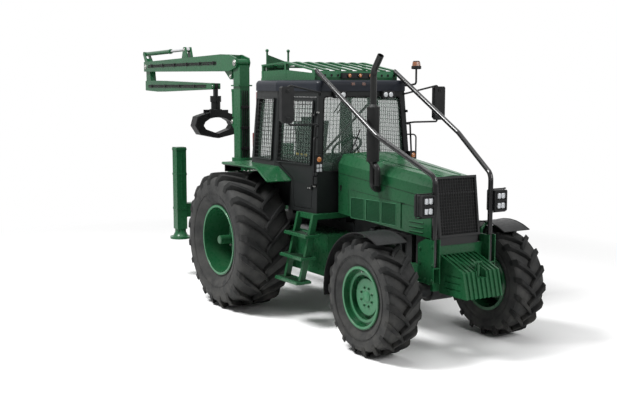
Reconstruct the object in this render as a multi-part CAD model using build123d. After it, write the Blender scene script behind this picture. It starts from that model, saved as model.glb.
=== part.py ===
from build123d import *
import os
from math import atan2, cos, degrees, hypot, pi, radians, sin, sqrt, tan

# Forestry tractor with a loading crane folded back behind its cab.
# Millimetres, +X forward, +Y left, +Z up. Below, X is counted from the rear axle.

# Wheels
WHEELBASE = 2760.0
FRONT_TRACK = 1674.0
REAR_TRACK = 2000.0
FRONT_TYRE_R = 610.0
FRONT_TYRE_W = 400.0
FRONT_RIM_R = 329.0
FRONT_RIM_W = 340.0
FRONT_LUGS = 18
FRONT_LUG_H = 50.0
FRONT_LUG_W = 58.0
FRONT_LUG_SWEEP = 20.6
FRONT_FACETS = 18
REAR_TYRE_R = 850.0
REAR_TYRE_W = 690.0
REAR_RIM_R = 442.0
REAR_RIM_W = 560.0
REAR_LUGS = 20
REAR_LUG_H = 58.0
REAR_LUG_W = 72.0
REAR_LUG_SWEEP = 22.9
REAR_FACETS = 20
LUG_CROSS = 35.0
LUG_DRAFT = 8.0
BEAD_RISE = 10.0
CROWN_SHARE = 0.9
RIM_WALL = 14.0
RIM_FLANGE = 20.0
RIM_DISH = 60.0
FRONT_DISC_Y = 40.0
FRONT_HUB_R = 205.0
FRONT_HUB_SET = 90.0
REAR_DISC_Y = -150.0
REAR_HUB_R = 115.0
REAR_HUB_OUT = 10.0
SHAFT_OUT = 265.0
SHAFT_SEAT = 110.0

# Front axle and steering
KINGPIN_IN = 147.0
HUB_FACE_IN = 37.0
KINGPIN_R = 28.0
BOSS_R = 62.0
BOSS_H = 180.0
EAR_T = 35.0
EAR_GAP = 6.0
BEAM_R = 58.0
DIFF_R = 130.0
DIFF_HALF = 160.0
TRUMPET_L = 170.0
SPINDLE_R = 50.0
SPINDLE_REACH = 60.0
KNUCKLE_HALF = 95.0
KNUCKLE_T = 30.0
PIN_FIT = 0.05
FACE_FIT = 0.3

# Front mudguards
MUDGUARD_GAP = 54.0
MUDGUARD_T = 8.0
MUDGUARD_HALF = 185.0
MUDGUARD_FROM = -8.0
MUDGUARD_TO = 118.0
STAY_R = 17.0
STAY_GAP = 12.0
STAY_FOOT_T = 14.0

# Cab
CAB_FLOOR = 1300.0
CAB_WAIST = 1800.0
CAB_TOP = 2705.0
CAB_TAPER = 3.6
CAB_REAR = -150.0
CAB_REAR_HALF = 765.0
CAB_MID = 520.0
CAB_MID_HALF = 795.0
CAB_FRONT = 1400.0
CAB_FRONT_HALF = 690.0
CAB_WALL = 55.0
FLOOR_T = 50.0
ARCH_HALF = 600.0
ARCH_FRONT = 880.0
ARCH_SLOPE = 270.0
ARCH_DROP = 135.0
DOOR_GAP = 6.0
DOOR_PILLAR = 105.0
DOOR_FRAME = 48.0
PILLAR = 62.0
WINDOW_SILL = 560.0
WINDOW_HEAD = 60.0
WINDOW_R = 40.0
SCREEN_SILL = 480.0
GLASS_T = 8.0
GLASS_SET = 22.0
HINGE_OUT = 14.0
HINGE_R = 11.0
HINGE_H = 60.0
HINGE_STRAP = 80.0
HINGE_STRAP_T = 8.0
HINGE_LOW = 300.0
HINGE_HIGH = 1150.0
ROOF_H = 130.0
ROOF_OVERHANG = 25.0
ROOF_EDGE_R = 55.0
FENDER_OUT = 1050.0
FENDER_REAR = -330.0
FENDER_T = 30.0

# Seat, dash and steering wheel
SEAT_REAR = 200.0
SEAT_FRONT = 720.0
SEAT_HALF = 250.0
SEAT_LIFT = 330.0
SEAT_T = 120.0
SEAT_BACK_T = 95.0
SEAT_HEAD_GAP = 355.0
DASH_DEPTH = 230.0
DASH_SET = 110.0
DASH_HALF = 260.0
DASH_H = 600.0
WHEEL_RING_R = 185.0
WHEEL_WIRE_R = 15.0
WHEEL_LEAN = 41.0
COLUMN_ROD_R = 26.0
COLUMN_ROD_L = 226.0

# Backbone
GEARBOX_REAR = -330.0
GEARBOX_AHEAD = 100.0
GEARBOX_HALF = 230.0
GEARBOX_LOW = 560.0
GEARBOX_TOP = 1130.0
GEARBOX_BEND = 500.0
CAB_MOUNT_REAR = 0.0
CAB_MOUNT_FRONT = 1250.0
CAB_MOUNT_HALF = 60.0
CAB_MOUNT_W = 90.0
SLEEVE_R = 130.0
SLEEVE_END = 640.0
SLEEVE_FLARE = 70.0
AXLE_SHAFT_R = 55.0
ENGINE_BEHIND = 160.0
ENGINE_HALF = 225.0
ENGINE_LOW = 690.0
ENGINE_TOP = 1560.0
RADIATOR_AHEAD = 80.0
RADIATOR_T = 180.0
RADIATOR_HALF = 215.0
RAIL_T = 30.0
RAIL_LOW = 700.0
RAIL_TOP = 880.0
SADDLE_HALF = 130.0
NOSE_AHEAD = 330.0
NOSE_T = 40.0
NOSE_TOP = 1130.0

# Guard posts at the nose, and the bars from them to the roof
POST_AHEAD = 70.0
POST_Y = 370.0
POST_R = 27.0
POST_LOW = 930.0
POST_BEND_R = 110.0
SOCKET_GAP = 8.0
SOCKET_T = 10.0
SOCKET_LOW = 760.0
SOCKET_TOP = 1215.0
SOCKET_AHEAD = 45.0
SOCKET_BEHIND = 140.0
SOCKET_CORNER_R = 38.0
KNEE_BACK = 760.0
KNEE_Y = 560.0
KNEE_RISE = 245.0
HEAD_RISE = 131.0

# Ballast weight
WEIGHT_LENGTH = 435.0
WEIGHT_HALF = 240.0
WEIGHT_LOW = 640.0
WEIGHT_TOP = 1035.0
WEIGHT_SHOULDER = 66.0
WEIGHT_DROP = 128.0
RIB_COUNT = 9
RIB_W = 22.0
RIB_DEPTH = 16.0
WEIGHT_GROOVES = 3
GROOVE_W = 14.0
GROOVE_DEPTH = 7.0
WEIGHT_PIN_R = 18.0

# Hood, grille and exhaust
HOOD_BEHIND = 60.0
HOOD_AHEAD = 240.0
HOOD_REAR_HALF = 430.0
HOOD_FRONT_HALF = 285.0
HOOD_FRONT_TOP = 1845.0
HOOD_RISE = 155.0
HOOD_REAR_LOW = 1300.0
HOOD_FRONT_LOW = 1195.0
HOOD_WALL = 22.0
HOOD_SHOULDER = 120.0
HOOD_CROWN = 18.0
HOOD_SHOULDER_IN = 70.0
LID_DEPTH = 230.0
LID_GAP = 0.3
LID_HINGE_DROP = 70.0
LID_HINGE_Y = 200.0
LID_HINGE_W = 30.0
LID_HINGE_R = 14.0
LID_PIN_R = 8.0
BRACKET_T = 24.0
SHEET = 20.0
VENT_COUNT = 3
VENT_REAR = 230.0
VENT_AHEAD = 545.0
VENT_BAR = 30.0
VENT_LOW = 1270.0
VENT_TOP = 1505.0
VENT_DEPTH = 10.0
SLOT_BACK = 470.0
SLOT_W = 62.0
SLOT_LOW = 1250.0
SLOT_TOP = 1530.0
LOUVRE_BACK = 335.0
LOUVRE_L = 220.0
LOUVRE_H = 22.0
LOUVRE_PITCH = 50.0
LOUVRE_LOW = 1232.0
GRILLE_TOP_AHEAD = 30.0
GRILLE_LOW_AHEAD = 110.0
GRILLE_HALF = 268.0
GRILLE_LOW = 1215.0
GRILLE_FRAME = 24.0
GRILLE_WIRE = 5.0
GRILLE_PITCH = 33.0
CHIN_HALF = 255.0
CHIN_AHEAD = 14.0
CHIN_BEHIND = 130.0
EXHAUST_AHEAD = 715.0
EXHAUST_Y = -448.0
MUFFLER_R = 70.0
MUFFLER_L = 570.0
MUFFLER_CONE = 40.0
STACK_R = 36.0
STACK_BORE_R = 31.0
STACK_L = 580.0
STACK_LEAN = 130.0
ELBOW_DROP = 58.0

# Roof guard
GUARD_REAR = -120.0
GUARD_FRONT = 1190.0
GUARD_HALF = 590.0
GUARD_BASE_T = 26.0
GUARD_BORDER = 90.0
GUARD_STRIP_H = 105.0
GUARD_STRIP_T = 22.0
GUARD_PEAK_X = 500.0
GUARD_PEAK = 228.0
GUARD_REAR_RISE = 198.0
GUARD_FRONT_RISE = 118.0
SLAT_COUNT = 8
SLAT_W = 44.0
SLAT_T = 20.0
GUARD_POST = 40.0
HORN_Y = (-510.0, -200.0)
HORN_TOP = 398.0
HORN_R = 13.0
HORN_BALL_R = 22.0

# Lamps
ROOF_LAMP_HALF = 230.0
ROOF_LAMP_PITCH = 150.0
ROOF_LAMP_R = 24.0
ROOF_LAMP_H = 62.0
WORK_LAMP_Y = 340.0
WORK_LAMP_W = 170.0
WORK_LAMP_H = 80.0
WORK_LAMP_D = 70.0
TURN_LAMP_Y = 673.0
TURN_LAMP_W = 94.0
TURN_LAMP_LOW = 1775.0
TURN_LAMP_H = 205.0
TURN_LAMP_D = 46.0
LOOP_R = 9.0
BEACON_Y = 730.0
BEACON_R = 60.0
BEACON_H = 92.0
BEACON_RISE = 140.0
STALK_R = 12.0
HEADLAMP_W = 170.0
HEADLAMP_H = 225.0
HEADLAMP_D = 130.0
HEADLAMP_LOW = 1455.0
HEADLAMP_R = 18.0
LENS_DEPTH = 8.0
LENS_RIM = 18.0

# Mirrors
MIRROR_IN = 1000.0
MIRROR_OUT = 1160.0
MIRROR_T = 60.0
MIRROR_H = 410.0
MIRROR_RISE = 55.0
MIRROR_CHAMFER = 32.0
MIRROR_ROD_R = 11.0

# Ladders and fuel tanks
LADDER_LOW = 500.0
LADDER_IN = 745.0
LADDER_OUT = 930.0
LADDER_REAR = 290.0
LADDER_FRONT = 45.0
LADDER_BEAM = 44.0
TREAD_L = 495.0
TREAD_W = 200.0
TREAD_T = 28.0
TREAD_SHARES = (0.04, 0.38, 0.70)
TANK_REAR = 560.0
TANK_OUT = 600.0
TANK_LOW = 560.0
TANK_TOP = 1060.0

# Crane
COLUMN_X = -1820.0
SLEW_Z = 1530.0
PEDESTAL_R = 165.0
SLEW_FLANGE_R = 215.0
SLEW_FLANGE_T = 30.0
COLUMN_HALF_X = 100.0
COLUMN_HALF_Y = 80.0
DRUM_R = 150.0
DRUM_H = 190.0
COLLAR_DROP = 340.0
BOOM_PIN_Z = 3100.0
BOOM_LENGTH = 3530.0
BOOM_HALF = 90.0
BOOM_ROOT_DEPTH = 235.0
BOOM_TIP_DEPTH = 170.0
CHEEK_T = 24.0
PIVOT_R = 55.0
PIVOT_HALF = 86.0
PIVOT_PIN_R = 32.0
LIFT_BACK = 205.0
LIFT_DROP = 860.0
LUG_BACK = 230.0
LUG_DROP = 195.0
LIFT_R = 48.0
LIFT_ROD_R = 26.0
LIFT_PIN_R = 22.0
LIFT_SHARE = 0.72
LIFT_BORE_SHARE = 0.095
LIFT_ROD_SHARE = 0.19
STICK_DROP = 340.0
STICK_DEPTH = 190.0
STICK_HALF = 75.0
ROOT_HALF = 52.0
ELBOW_PIN_R = 32.0
FORK_LENGTH = 1000.0
FORK_HALF = 58.0
EAR_BACK = 1920.0
EAR_RISE = 250.0
LEVER_BACK = 175.0
LEVER_RISE = 225.0
LEVER_HEAD_R = 42.0
LEVER_PIN_R = 20.0
STICK_CYL_R = 35.0
STICK_ROD_R = 22.0
STICK_SHARE = 0.62
STICK_ROD_SHARE = 0.46
STICK_BORE_SHARE = 0.08
HANG_BACK = 880.0
HANG_PIN_R = 22.0
LINK_HALF = 28.0
LINK_L = 150.0
ROTATOR_R = 85.0
ROTATOR_H = 90.0
SPIN_R = 72.0
GRAB_HEAD_DROP = 350.0
JAW_PIN_DROP = 430.0
GRAB_REACH = 795.0
GRAB_HALF = 130.0
JAW_Y = 90.0
JAW_W = 176.0
JAW_REACH = 390.0
JAW_PIN_R = 20.0
STABILIZER_BACK = 230.0
STABILIZER_Y = 900.0
LEG_OUT = 150.0
LEG_WALL = 14.0
LEG_FIT = 0.3
LEG_FOOT_R = 150.0
LEG_FOOT_T = 32.0
LEG_FOOT_Z = 560.0
LEG_HOUSE_TOP = 1890.0
BASE_LOW = 640.0
HITCH_L = 220.0
HITCH_BORE_BACK = 160.0
HITCH_BORE_R = 21.0

# Places that follow from the sizes
FRONT_Y = FRONT_TRACK / 2
REAR_Y = REAR_TRACK / 2
KINGPIN_Y = FRONT_Y - KINGPIN_IN
HUB_FACE_Y = FRONT_Y - HUB_FACE_IN
MUDGUARD_R = FRONT_TYRE_R + MUDGUARD_GAP + MUDGUARD_T
GEARBOX_FRONT = CAB_FRONT + GEARBOX_AHEAD
ENGINE_FRONT = WHEELBASE - ENGINE_BEHIND
RADIATOR_FRONT = WHEELBASE + RADIATOR_AHEAD
NOSE_X = WHEELBASE + NOSE_AHEAD
POST_X = NOSE_X + POST_AHEAD
WEIGHT_FRONT = NOSE_X + WEIGHT_LENGTH
HOOD_REAR = CAB_FRONT + HOOD_BEHIND
HOOD_FRONT = WHEELBASE + HOOD_AHEAD
HOOD_REAR_TOP = HOOD_FRONT_TOP + HOOD_RISE
LID_HINGE_X = HOOD_REAR
LID_HINGE_Z = HOOD_REAR_TOP - LID_HINGE_DROP
GRILLE_TOP_X = HOOD_FRONT + GRILLE_TOP_AHEAD
GRILLE_LOW_X = HOOD_FRONT + GRILLE_LOW_AHEAD
GRILLE_TOP = HOOD_FRONT_TOP - 7
EXHAUST_X = HOOD_REAR + EXHAUST_AHEAD
MUFFLER_LOW = HOOD_REAR_TOP - MUFFLER_CONE
MUFFLER_TOP = MUFFLER_LOW + MUFFLER_L
STACK_TOP = MUFFLER_TOP + STACK_L
SEAT_FLOOR = CAB_FLOOR + FLOOR_T
HEAD_V = CAB_TOP - CAB_FLOOR - WINDOW_HEAD
ROOF_TOP = CAB_TOP + ROOF_H
BAR_KNEE = (POST_X - KNEE_BACK, KNEE_Y, HOOD_REAR_TOP + KNEE_RISE)
BAR_HEAD = (GUARD_FRONT - 50, KNEE_Y, ROOF_TOP + HEAD_RISE)
POST_BEND_Z = HOOD_FRONT_TOP + 5
LADDER_TOP = CAB_FLOOR
BOOM_TIP_X = COLUMN_X - BOOM_LENGTH
LIFT_BASE = (COLUMN_X - LIFT_BACK, BOOM_PIN_Z - LIFT_DROP)
LIFT_LUG = (COLUMN_X - LUG_BACK, BOOM_PIN_Z - LUG_DROP)
ELBOW_X = BOOM_TIP_X
ELBOW_Z = BOOM_PIN_Z
EAR_X = COLUMN_X - EAR_BACK
EAR_Z = BOOM_PIN_Z + EAR_RISE
LEVER = (ELBOW_X - LEVER_BACK, ELBOW_Z + LEVER_RISE)
HANG_X = COLUMN_X - HANG_BACK
STICK_TIP_Z = ELBOW_Z - STICK_DROP
ROTATOR_TOP = STICK_TIP_Z - LINK_L
GRAB_TOP = STICK_TIP_Z - GRAB_HEAD_DROP
JAW_Z = STICK_TIP_Z - JAW_PIN_DROP
GRAB_LOW = STICK_TIP_Z - GRAB_REACH
STABILIZER_X = COLUMN_X - STABILIZER_BACK
BASE_TAIL = STABILIZER_X - 110
REAR_END = BOOM_TIP_X - LEVER_BACK - LEVER_HEAD_R
MID_X = (WEIGHT_FRONT + REAR_END) / 2


def block(x0, x1, y0, y1, z0, z1):
    """A box between two corners."""
    return Pos((x0 + x1) / 2, (y0 + y1) / 2, (z0 + z1) / 2) * Box(x1 - x0, y1 - y0, z1 - z0)


def side_plate(points, y0, y1, radius=0):
    """A plate with an XZ outline, from y0 up to y1."""
    plane = Plane(origin=(0, y1, 0), x_dir=(1, 0, 0), z_dir=(0, -1, 0))
    if radius:
        outline = FilletPolyline(*points, radius=radius, close=True)
    else:
        outline = Polyline(*points, close=True)
    return extrude(plane * make_face(outline), amount=y1 - y0)


def cross_plate(points, x0, x1):
    """A plate with a YZ outline, from x0 up to x1."""
    plane = Plane(origin=(x0, 0, 0), x_dir=(0, 1, 0), z_dir=(1, 0, 0))
    return extrude(plane * make_face(Polyline(*points, close=True)), amount=x1 - x0)


def rod(start, end, radius):
    """A round bar between two points."""
    start = Vector(start)
    end = Vector(end)
    plane = Plane(origin=start, z_dir=end - start)
    low = (Align.CENTER, Align.CENTER, Align.MIN)
    return plane * Cylinder(radius, (end - start).length, align=low)


def tube_run(points, radius, bend):
    """A round bar bent along a route."""
    path = FilletPolyline(*points, radius=bend)
    return sweep(Plane(origin=path @ 0, z_dir=path % 0) * Circle(radius), path=path)


def pin_y(x, z, y0, y1, radius):
    """A round bar across the machine."""
    return rod((x, y0, z), (x, y1, z), radius)


def turned(points):
    """A turned piece about the Y axis from (radius, y) points."""
    return revolve(make_face(Polyline(*points, close=True)), axis=Axis.Y)


def turned_up(x, y, points):
    """A turned piece about an upright axis from (radius, z) points."""
    return Pos(x, y, 0) * revolve(Plane.XZ * make_face(Polyline(*points, close=True)), axis=Axis.Z)


def mirrored(shape):
    """The same piece on the other side."""
    return mirror(shape, about=Plane.XZ)


def both(shape):
    """A piece and its mirror image."""
    return shape + mirrored(shape)


def save(name, shape):
    """Write one sub-part, with the origin under the middle of the machine."""
    export_step(Pos(-MID_X, 0, 0) * shape, f"parts/{name}.step")


def save_pair(name, shape):
    """Write a left piece and its mirror image on the right."""
    save(f"{name}_left", shape)
    save(f"{name}_right", mirrored(shape))


# Tyres and rims, made at the axle and moved into place

def faceted_ring(points, facets):
    """A ring of flat facets about the Y axis from (radius, y) points round its section."""
    faces = []
    for (r0, y0), (r1, y1) in zip(points, points[1:] + points[:1]):
        for i in range(facets):
            a = 2 * pi * i / facets
            b = 2 * pi * (i + 1) / facets
            corners = [
                (r0 * cos(a), y0, r0 * sin(a)), (r0 * cos(b), y0, r0 * sin(b)),
                (r1 * cos(b), y1, r1 * sin(b)), (r1 * cos(a), y1, r1 * sin(a)),
            ]
            faces.append(Face(Wire.make_polygon(corners)))
    return Solid(Shell(faces))


def tyre(radius, width, rim_radius, rim_width, facets, lugs, lug_h, lug_w, sweep_deg):
    """Faceted carcass with slanting bars that meet in a V along the middle of the tread."""
    half = width / 2
    bead = rim_width / 2 - RIM_WALL
    wall = radius - rim_radius
    crown = radius - lug_h
    seat = (rim_radius - RIM_FLANGE) / cos(pi / facets)
    section = [
        (seat, bead), (rim_radius + BEAD_RISE, bead), (rim_radius + 0.5 * wall, half), (crown, half * CROWN_SHARE),
    ]
    section += [(r, -y) for r, y in reversed(section)]
    carcass = faceted_ring(section, facets)

    # The wheel stands on two bars, one of each side, an equal way before and behind its lowest line
    swing = radians(sweep_deg) / 2
    corner_r = radius / cos(pi / (2 * lugs))
    slant = corner_r * sin(swing)
    toe = lug_w * 0.4
    heel = lug_w * 0.6
    top = sqrt(corner_r ** 2 - (slant + heel) ** 2)
    depth = lug_h * 1.6
    outer = half * CROWN_SHARE - depth * tan(radians(LUG_DRAFT)) - 2
    first = pi + pi / (2 * lugs) + atan2(slant + heel, top)
    bars = []
    for side in (1, -1):
        outline = make_face(Polyline(
            (slant - toe, side * LUG_CROSS), (slant + toe, side * LUG_CROSS),
            (heel - slant, -side * outer), (-heel - slant, -side * outer), close=True))
        for i in range(lugs):
            a = first + 2 * pi * i / lugs - (0 if side > 0 else pi / lugs)
            out = Vector(sin(a), 0, cos(a))
            plane = Plane(origin=out * top, x_dir=(cos(a), 0, -sin(a)), z_dir=-out)
            bars.append(extrude(plane * outline, amount=depth, taper=-LUG_DRAFT))
    return carcass + bars


def rim(rim_radius, rim_width, disc_y, hub_r, hub_in, hub_out):
    seat = rim_radius - RIM_FLANGE
    inner = seat - RIM_WALL
    half = rim_width / 2
    lip = half - RIM_WALL
    barrel = turned([
        (inner, -half), (rim_radius, -half), (rim_radius, -lip), (seat, -lip),
        (seat, lip), (rim_radius, lip), (rim_radius, half), (inner, half),
    ])
    dish = disc_y + RIM_DISH
    disc = turned([
        (hub_r - 5, disc_y), (hub_r + 40, disc_y), (inner - 60, dish), (inner + 2, dish),
        (inner + 2, dish + RIM_WALL), (inner - 66, dish + RIM_WALL),
        (hub_r + 34, disc_y + RIM_WALL), (hub_r - 5, disc_y + RIM_WALL),
    ])
    hub = turned([(0, hub_in), (hub_r, hub_in), (hub_r, hub_out - 12), (hub_r - 12, hub_out), (0, hub_out)])
    return barrel + disc + hub


def front_wheels():
    place = Pos(WHEELBASE, FRONT_Y, FRONT_TYRE_R)
    rubber = tyre(
        FRONT_TYRE_R, FRONT_TYRE_W, FRONT_RIM_R, FRONT_RIM_W,
        FRONT_FACETS, FRONT_LUGS, FRONT_LUG_H, FRONT_LUG_W, FRONT_LUG_SWEEP,
    )
    spindle_bore = Cylinder(SPINDLE_R + PIN_FIT, SPINDLE_REACH * 2, rotation=(90, 0, 0))
    hub_in = HUB_FACE_Y - FRONT_Y + FACE_FIT
    wheel = rim(FRONT_RIM_R, FRONT_RIM_W, FRONT_DISC_Y, FRONT_HUB_R, hub_in, FRONT_RIM_W / 2 - FRONT_HUB_SET)
    wheel -= Pos(0, hub_in, 0) * spindle_bore
    save_pair("front_tyre", place * rubber)
    save_pair("front_rim", place * wheel)


def rear_wheels():
    place = Pos(0, REAR_Y, REAR_TYRE_R)
    rubber = tyre(
        REAR_TYRE_R, REAR_TYRE_W, REAR_RIM_R, REAR_RIM_W,
        REAR_FACETS, REAR_LUGS, REAR_LUG_H, REAR_LUG_W, REAR_LUG_SWEEP,
    )
    wheel = rim(REAR_RIM_R, REAR_RIM_W, REAR_DISC_Y, REAR_HUB_R, SLEEVE_END + 20 - REAR_Y, REAR_HUB_OUT)
    shaft_in = SLEEVE_END - SHAFT_SEAT - REAR_Y
    shaft = turned([
        (0, shaft_in), (AXLE_SHAFT_R, shaft_in), (AXLE_SHAFT_R, SHAFT_OUT - 10),
        (AXLE_SHAFT_R - 10, SHAFT_OUT), (0, SHAFT_OUT),
    ])
    save_pair("rear_tyre", place * rubber)
    save_pair("rear_rim", place * (wheel + shaft))


# Front axle, knuckles and mudguards

def front_axle():
    x, z = WHEELBASE, FRONT_TYRE_R
    beam = pin_y(x, z, -KINGPIN_Y, KINGPIN_Y, BEAM_R)
    diff = pin_y(x, z, -DIFF_HALF, DIFF_HALF, DIFF_R)
    trumpet = Pos(x, DIFF_HALF, z) * Cone(
        DIFF_R * 0.8, BEAM_R, TRUMPET_L, rotation=(-90, 0, 0), align=(Align.CENTER, Align.CENTER, Align.MIN)
    )
    boss = Pos(x, KINGPIN_Y, z) * Cylinder(BOSS_R, BOSS_H)
    bore = Pos(x, KINGPIN_Y, z) * Cylinder(KINGPIN_R + PIN_FIT, BOSS_H * 2)
    save("front_axle_beam", beam + diff + both(trumpet) + both(boss) - both(bore))


def mudguard_stay():
    """Bent stay from the top of a knuckle up over the tyre to its guard."""
    x, z = WHEELBASE, FRONT_TYRE_R
    stay_y = FRONT_Y - FRONT_TYRE_W / 2 - STAY_R - STAY_GAP
    seat_z = z + MUDGUARD_R - MUDGUARD_T - STAY_R
    ear_top = z + BOSS_H / 2 + EAR_GAP + EAR_T
    route = [
        (x, stay_y, ear_top - 1),
        (x, stay_y, seat_z - 60),
        (x, stay_y + 60, seat_z),
        (x, FRONT_Y + 120, seat_z),
    ]
    foot = block(x - 40, x + 40, stay_y - 30, KINGPIN_Y, ear_top, ear_top + STAY_FOOT_T)
    return tube_run(route, STAY_R, 25) + foot


def knuckle():
    x, z = WHEELBASE, FRONT_TYRE_R
    ear_low = BOSS_H / 2 + EAR_GAP
    ear_top = ear_low + EAR_T
    plate_y = HUB_FACE_Y - KNUCKLE_T
    plate = block(x - KNUCKLE_HALF, x + KNUCKLE_HALF, plate_y, HUB_FACE_Y, z - ear_top, z + ear_top)
    piece = fillet(plate.edges().filter_by(Axis.Y), 40)
    for side in (1, -1):
        mid = z + side * (ear_low + EAR_T / 2)
        piece += Pos(x, KINGPIN_Y, mid) * Cylinder(BOSS_R, EAR_T)
        piece += block(x - BOSS_R, x + BOSS_R, KINGPIN_Y, plate_y, mid - EAR_T / 2, mid + EAR_T / 2)
    piece += Pos(x, KINGPIN_Y, z) * Cylinder(KINGPIN_R, ear_top * 2)
    piece += pin_y(x, z, HUB_FACE_Y, HUB_FACE_Y + SPINDLE_REACH - 1, SPINDLE_R)
    save_pair("knuckle", piece + mudguard_stay())


def mudguard():
    """Curved guard over the tyre, carried by the stay on the knuckle."""
    wide = Cylinder(MUDGUARD_R, MUDGUARD_HALF * 2, rotation=(90, 0, 0))
    wide -= Cylinder(MUDGUARD_R - MUDGUARD_T, MUDGUARD_HALF * 2, rotation=(90, 0, 0))
    reach = MUDGUARD_R * 3
    low = radians(180 - MUDGUARD_FROM)
    high = radians(180 - MUDGUARD_TO)
    wedge = [(0, 0)]
    for turn in (low, (low + high) / 2, high):
        wedge.append((reach * cos(turn), reach * sin(turn)))
    guard = wide & side_plate(wedge, -MUDGUARD_HALF, MUDGUARD_HALF)
    save_pair("front_mudguard", Pos(WHEELBASE, FRONT_Y, FRONT_TYRE_R) * guard)


# Backbone of the machine

def backbone():
    case = side_plate(
        [
            (GEARBOX_REAR, GEARBOX_LOW + 120), (GEARBOX_REAR + 120, GEARBOX_LOW), (GEARBOX_BEND, GEARBOX_LOW),
            (GEARBOX_FRONT, GEARBOX_LOW + 80), (GEARBOX_FRONT, GEARBOX_TOP + 40), (GEARBOX_BEND, GEARBOX_TOP),
            (GEARBOX_REAR, GEARBOX_TOP),
        ],
        -GEARBOX_HALF, GEARBOX_HALF, 40,
    )
    sleeve = turned([
        (0, GEARBOX_HALF - 5), (SLEEVE_R + SLEEVE_FLARE, GEARBOX_HALF - 5), (SLEEVE_R, GEARBOX_HALF + 170),
        (SLEEVE_R, SLEEVE_END), (0, SLEEVE_END),
    ])
    sleeve -= pin_y(0, 0, SLEEVE_END - SHAFT_SEAT - 5, SLEEVE_END + 5, AXLE_SHAFT_R + PIN_FIT)
    arm = Pos(0, 0, REAR_TYRE_R) * sleeve
    for x in (CAB_MOUNT_REAR, CAB_MOUNT_FRONT):
        arm += block(x - CAB_MOUNT_HALF, x + CAB_MOUNT_HALF, GEARBOX_HALF - CAB_MOUNT_W, GEARBOX_HALF,
                     GEARBOX_TOP - 40, CAB_FLOOR)
    save("gearbox_and_rear_axle", case + both(arm))
    engine = side_plate(
        [
            (GEARBOX_FRONT, ENGINE_LOW + 60), (GEARBOX_FRONT + 250, ENGINE_LOW), (ENGINE_FRONT, ENGINE_LOW),
            (ENGINE_FRONT, ENGINE_TOP), (GEARBOX_FRONT, ENGINE_TOP),
        ],
        -ENGINE_HALF, ENGINE_HALF,
    )
    radiator = block(RADIATOR_FRONT - RADIATOR_T, RADIATOR_FRONT, -RADIATOR_HALF, RADIATOR_HALF,
                     RAIL_TOP, hood_split(RADIATOR_FRONT) - 30)
    save("engine_and_radiator", engine + radiator)


def front_frame():
    rail = block(GEARBOX_FRONT, NOSE_X - NOSE_T, ENGINE_HALF, ENGINE_HALF + RAIL_T, RAIL_LOW, RAIL_TOP)
    saddle = block(WHEELBASE - SADDLE_HALF, WHEELBASE + SADDLE_HALF, -ENGINE_HALF, ENGINE_HALF,
                   RAIL_LOW - 20, RAIL_TOP)
    saddle -= pin_y(WHEELBASE, FRONT_TYRE_R, -ENGINE_HALF - 5, ENGINE_HALF + 5, DIFF_R)
    inner_y = POST_Y - POST_R - SOCKET_GAP - SOCKET_T
    outer_y = POST_Y + POST_R + SOCKET_GAP + SOCKET_T
    front_x = POST_X + SOCKET_AHEAD
    rear_x = NOSE_X - SOCKET_BEHIND
    nose = block(NOSE_X - NOSE_T, NOSE_X, -inner_y, inner_y, WEIGHT_LOW + 20, NOSE_TOP)
    inner = block(NOSE_X - NOSE_T, front_x, inner_y, inner_y + SOCKET_T, SOCKET_LOW, SOCKET_TOP)
    outer = side_plate(
        [
            (rear_x, SOCKET_LOW), (front_x, SOCKET_LOW), (front_x, SOCKET_TOP + SOCKET_CORNER_R),
            (POST_X - 20, SOCKET_TOP + SOCKET_CORNER_R), (rear_x, SOCKET_TOP - 60),
        ],
        outer_y - SOCKET_T, outer_y, SOCKET_CORNER_R,
    )
    outer &= block(rear_x, front_x, outer_y - SOCKET_T, outer_y, SOCKET_LOW, SOCKET_TOP)
    web_x = POST_X - POST_R - 14
    web = block(web_x - 10, web_x, inner_y, outer_y, SOCKET_LOW, SOCKET_TOP - 40)
    step = block(web_x - 10, POST_X + 40, inner_y, outer_y, POST_LOW - 14, POST_LOW)
    save("front_frame", both(rail) + saddle + nose + both(inner + outer + web + step))


def limb_risers():
    """Bent bars from the nose posts up to the front corners of the roof guard."""
    route = [
        (POST_X, POST_Y, POST_LOW),
        (POST_X, POST_Y, POST_BEND_Z),
        BAR_KNEE,
        BAR_HEAD,
    ]
    bar = tube_run(route, POST_R, POST_BEND_R)
    bar -= block(BAR_HEAD[0] - 100, GUARD_FRONT, 0, BAR_HEAD[1] * 2, CAB_TOP, BAR_HEAD[2] * 2)
    save("limb_risers", both(bar))


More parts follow.
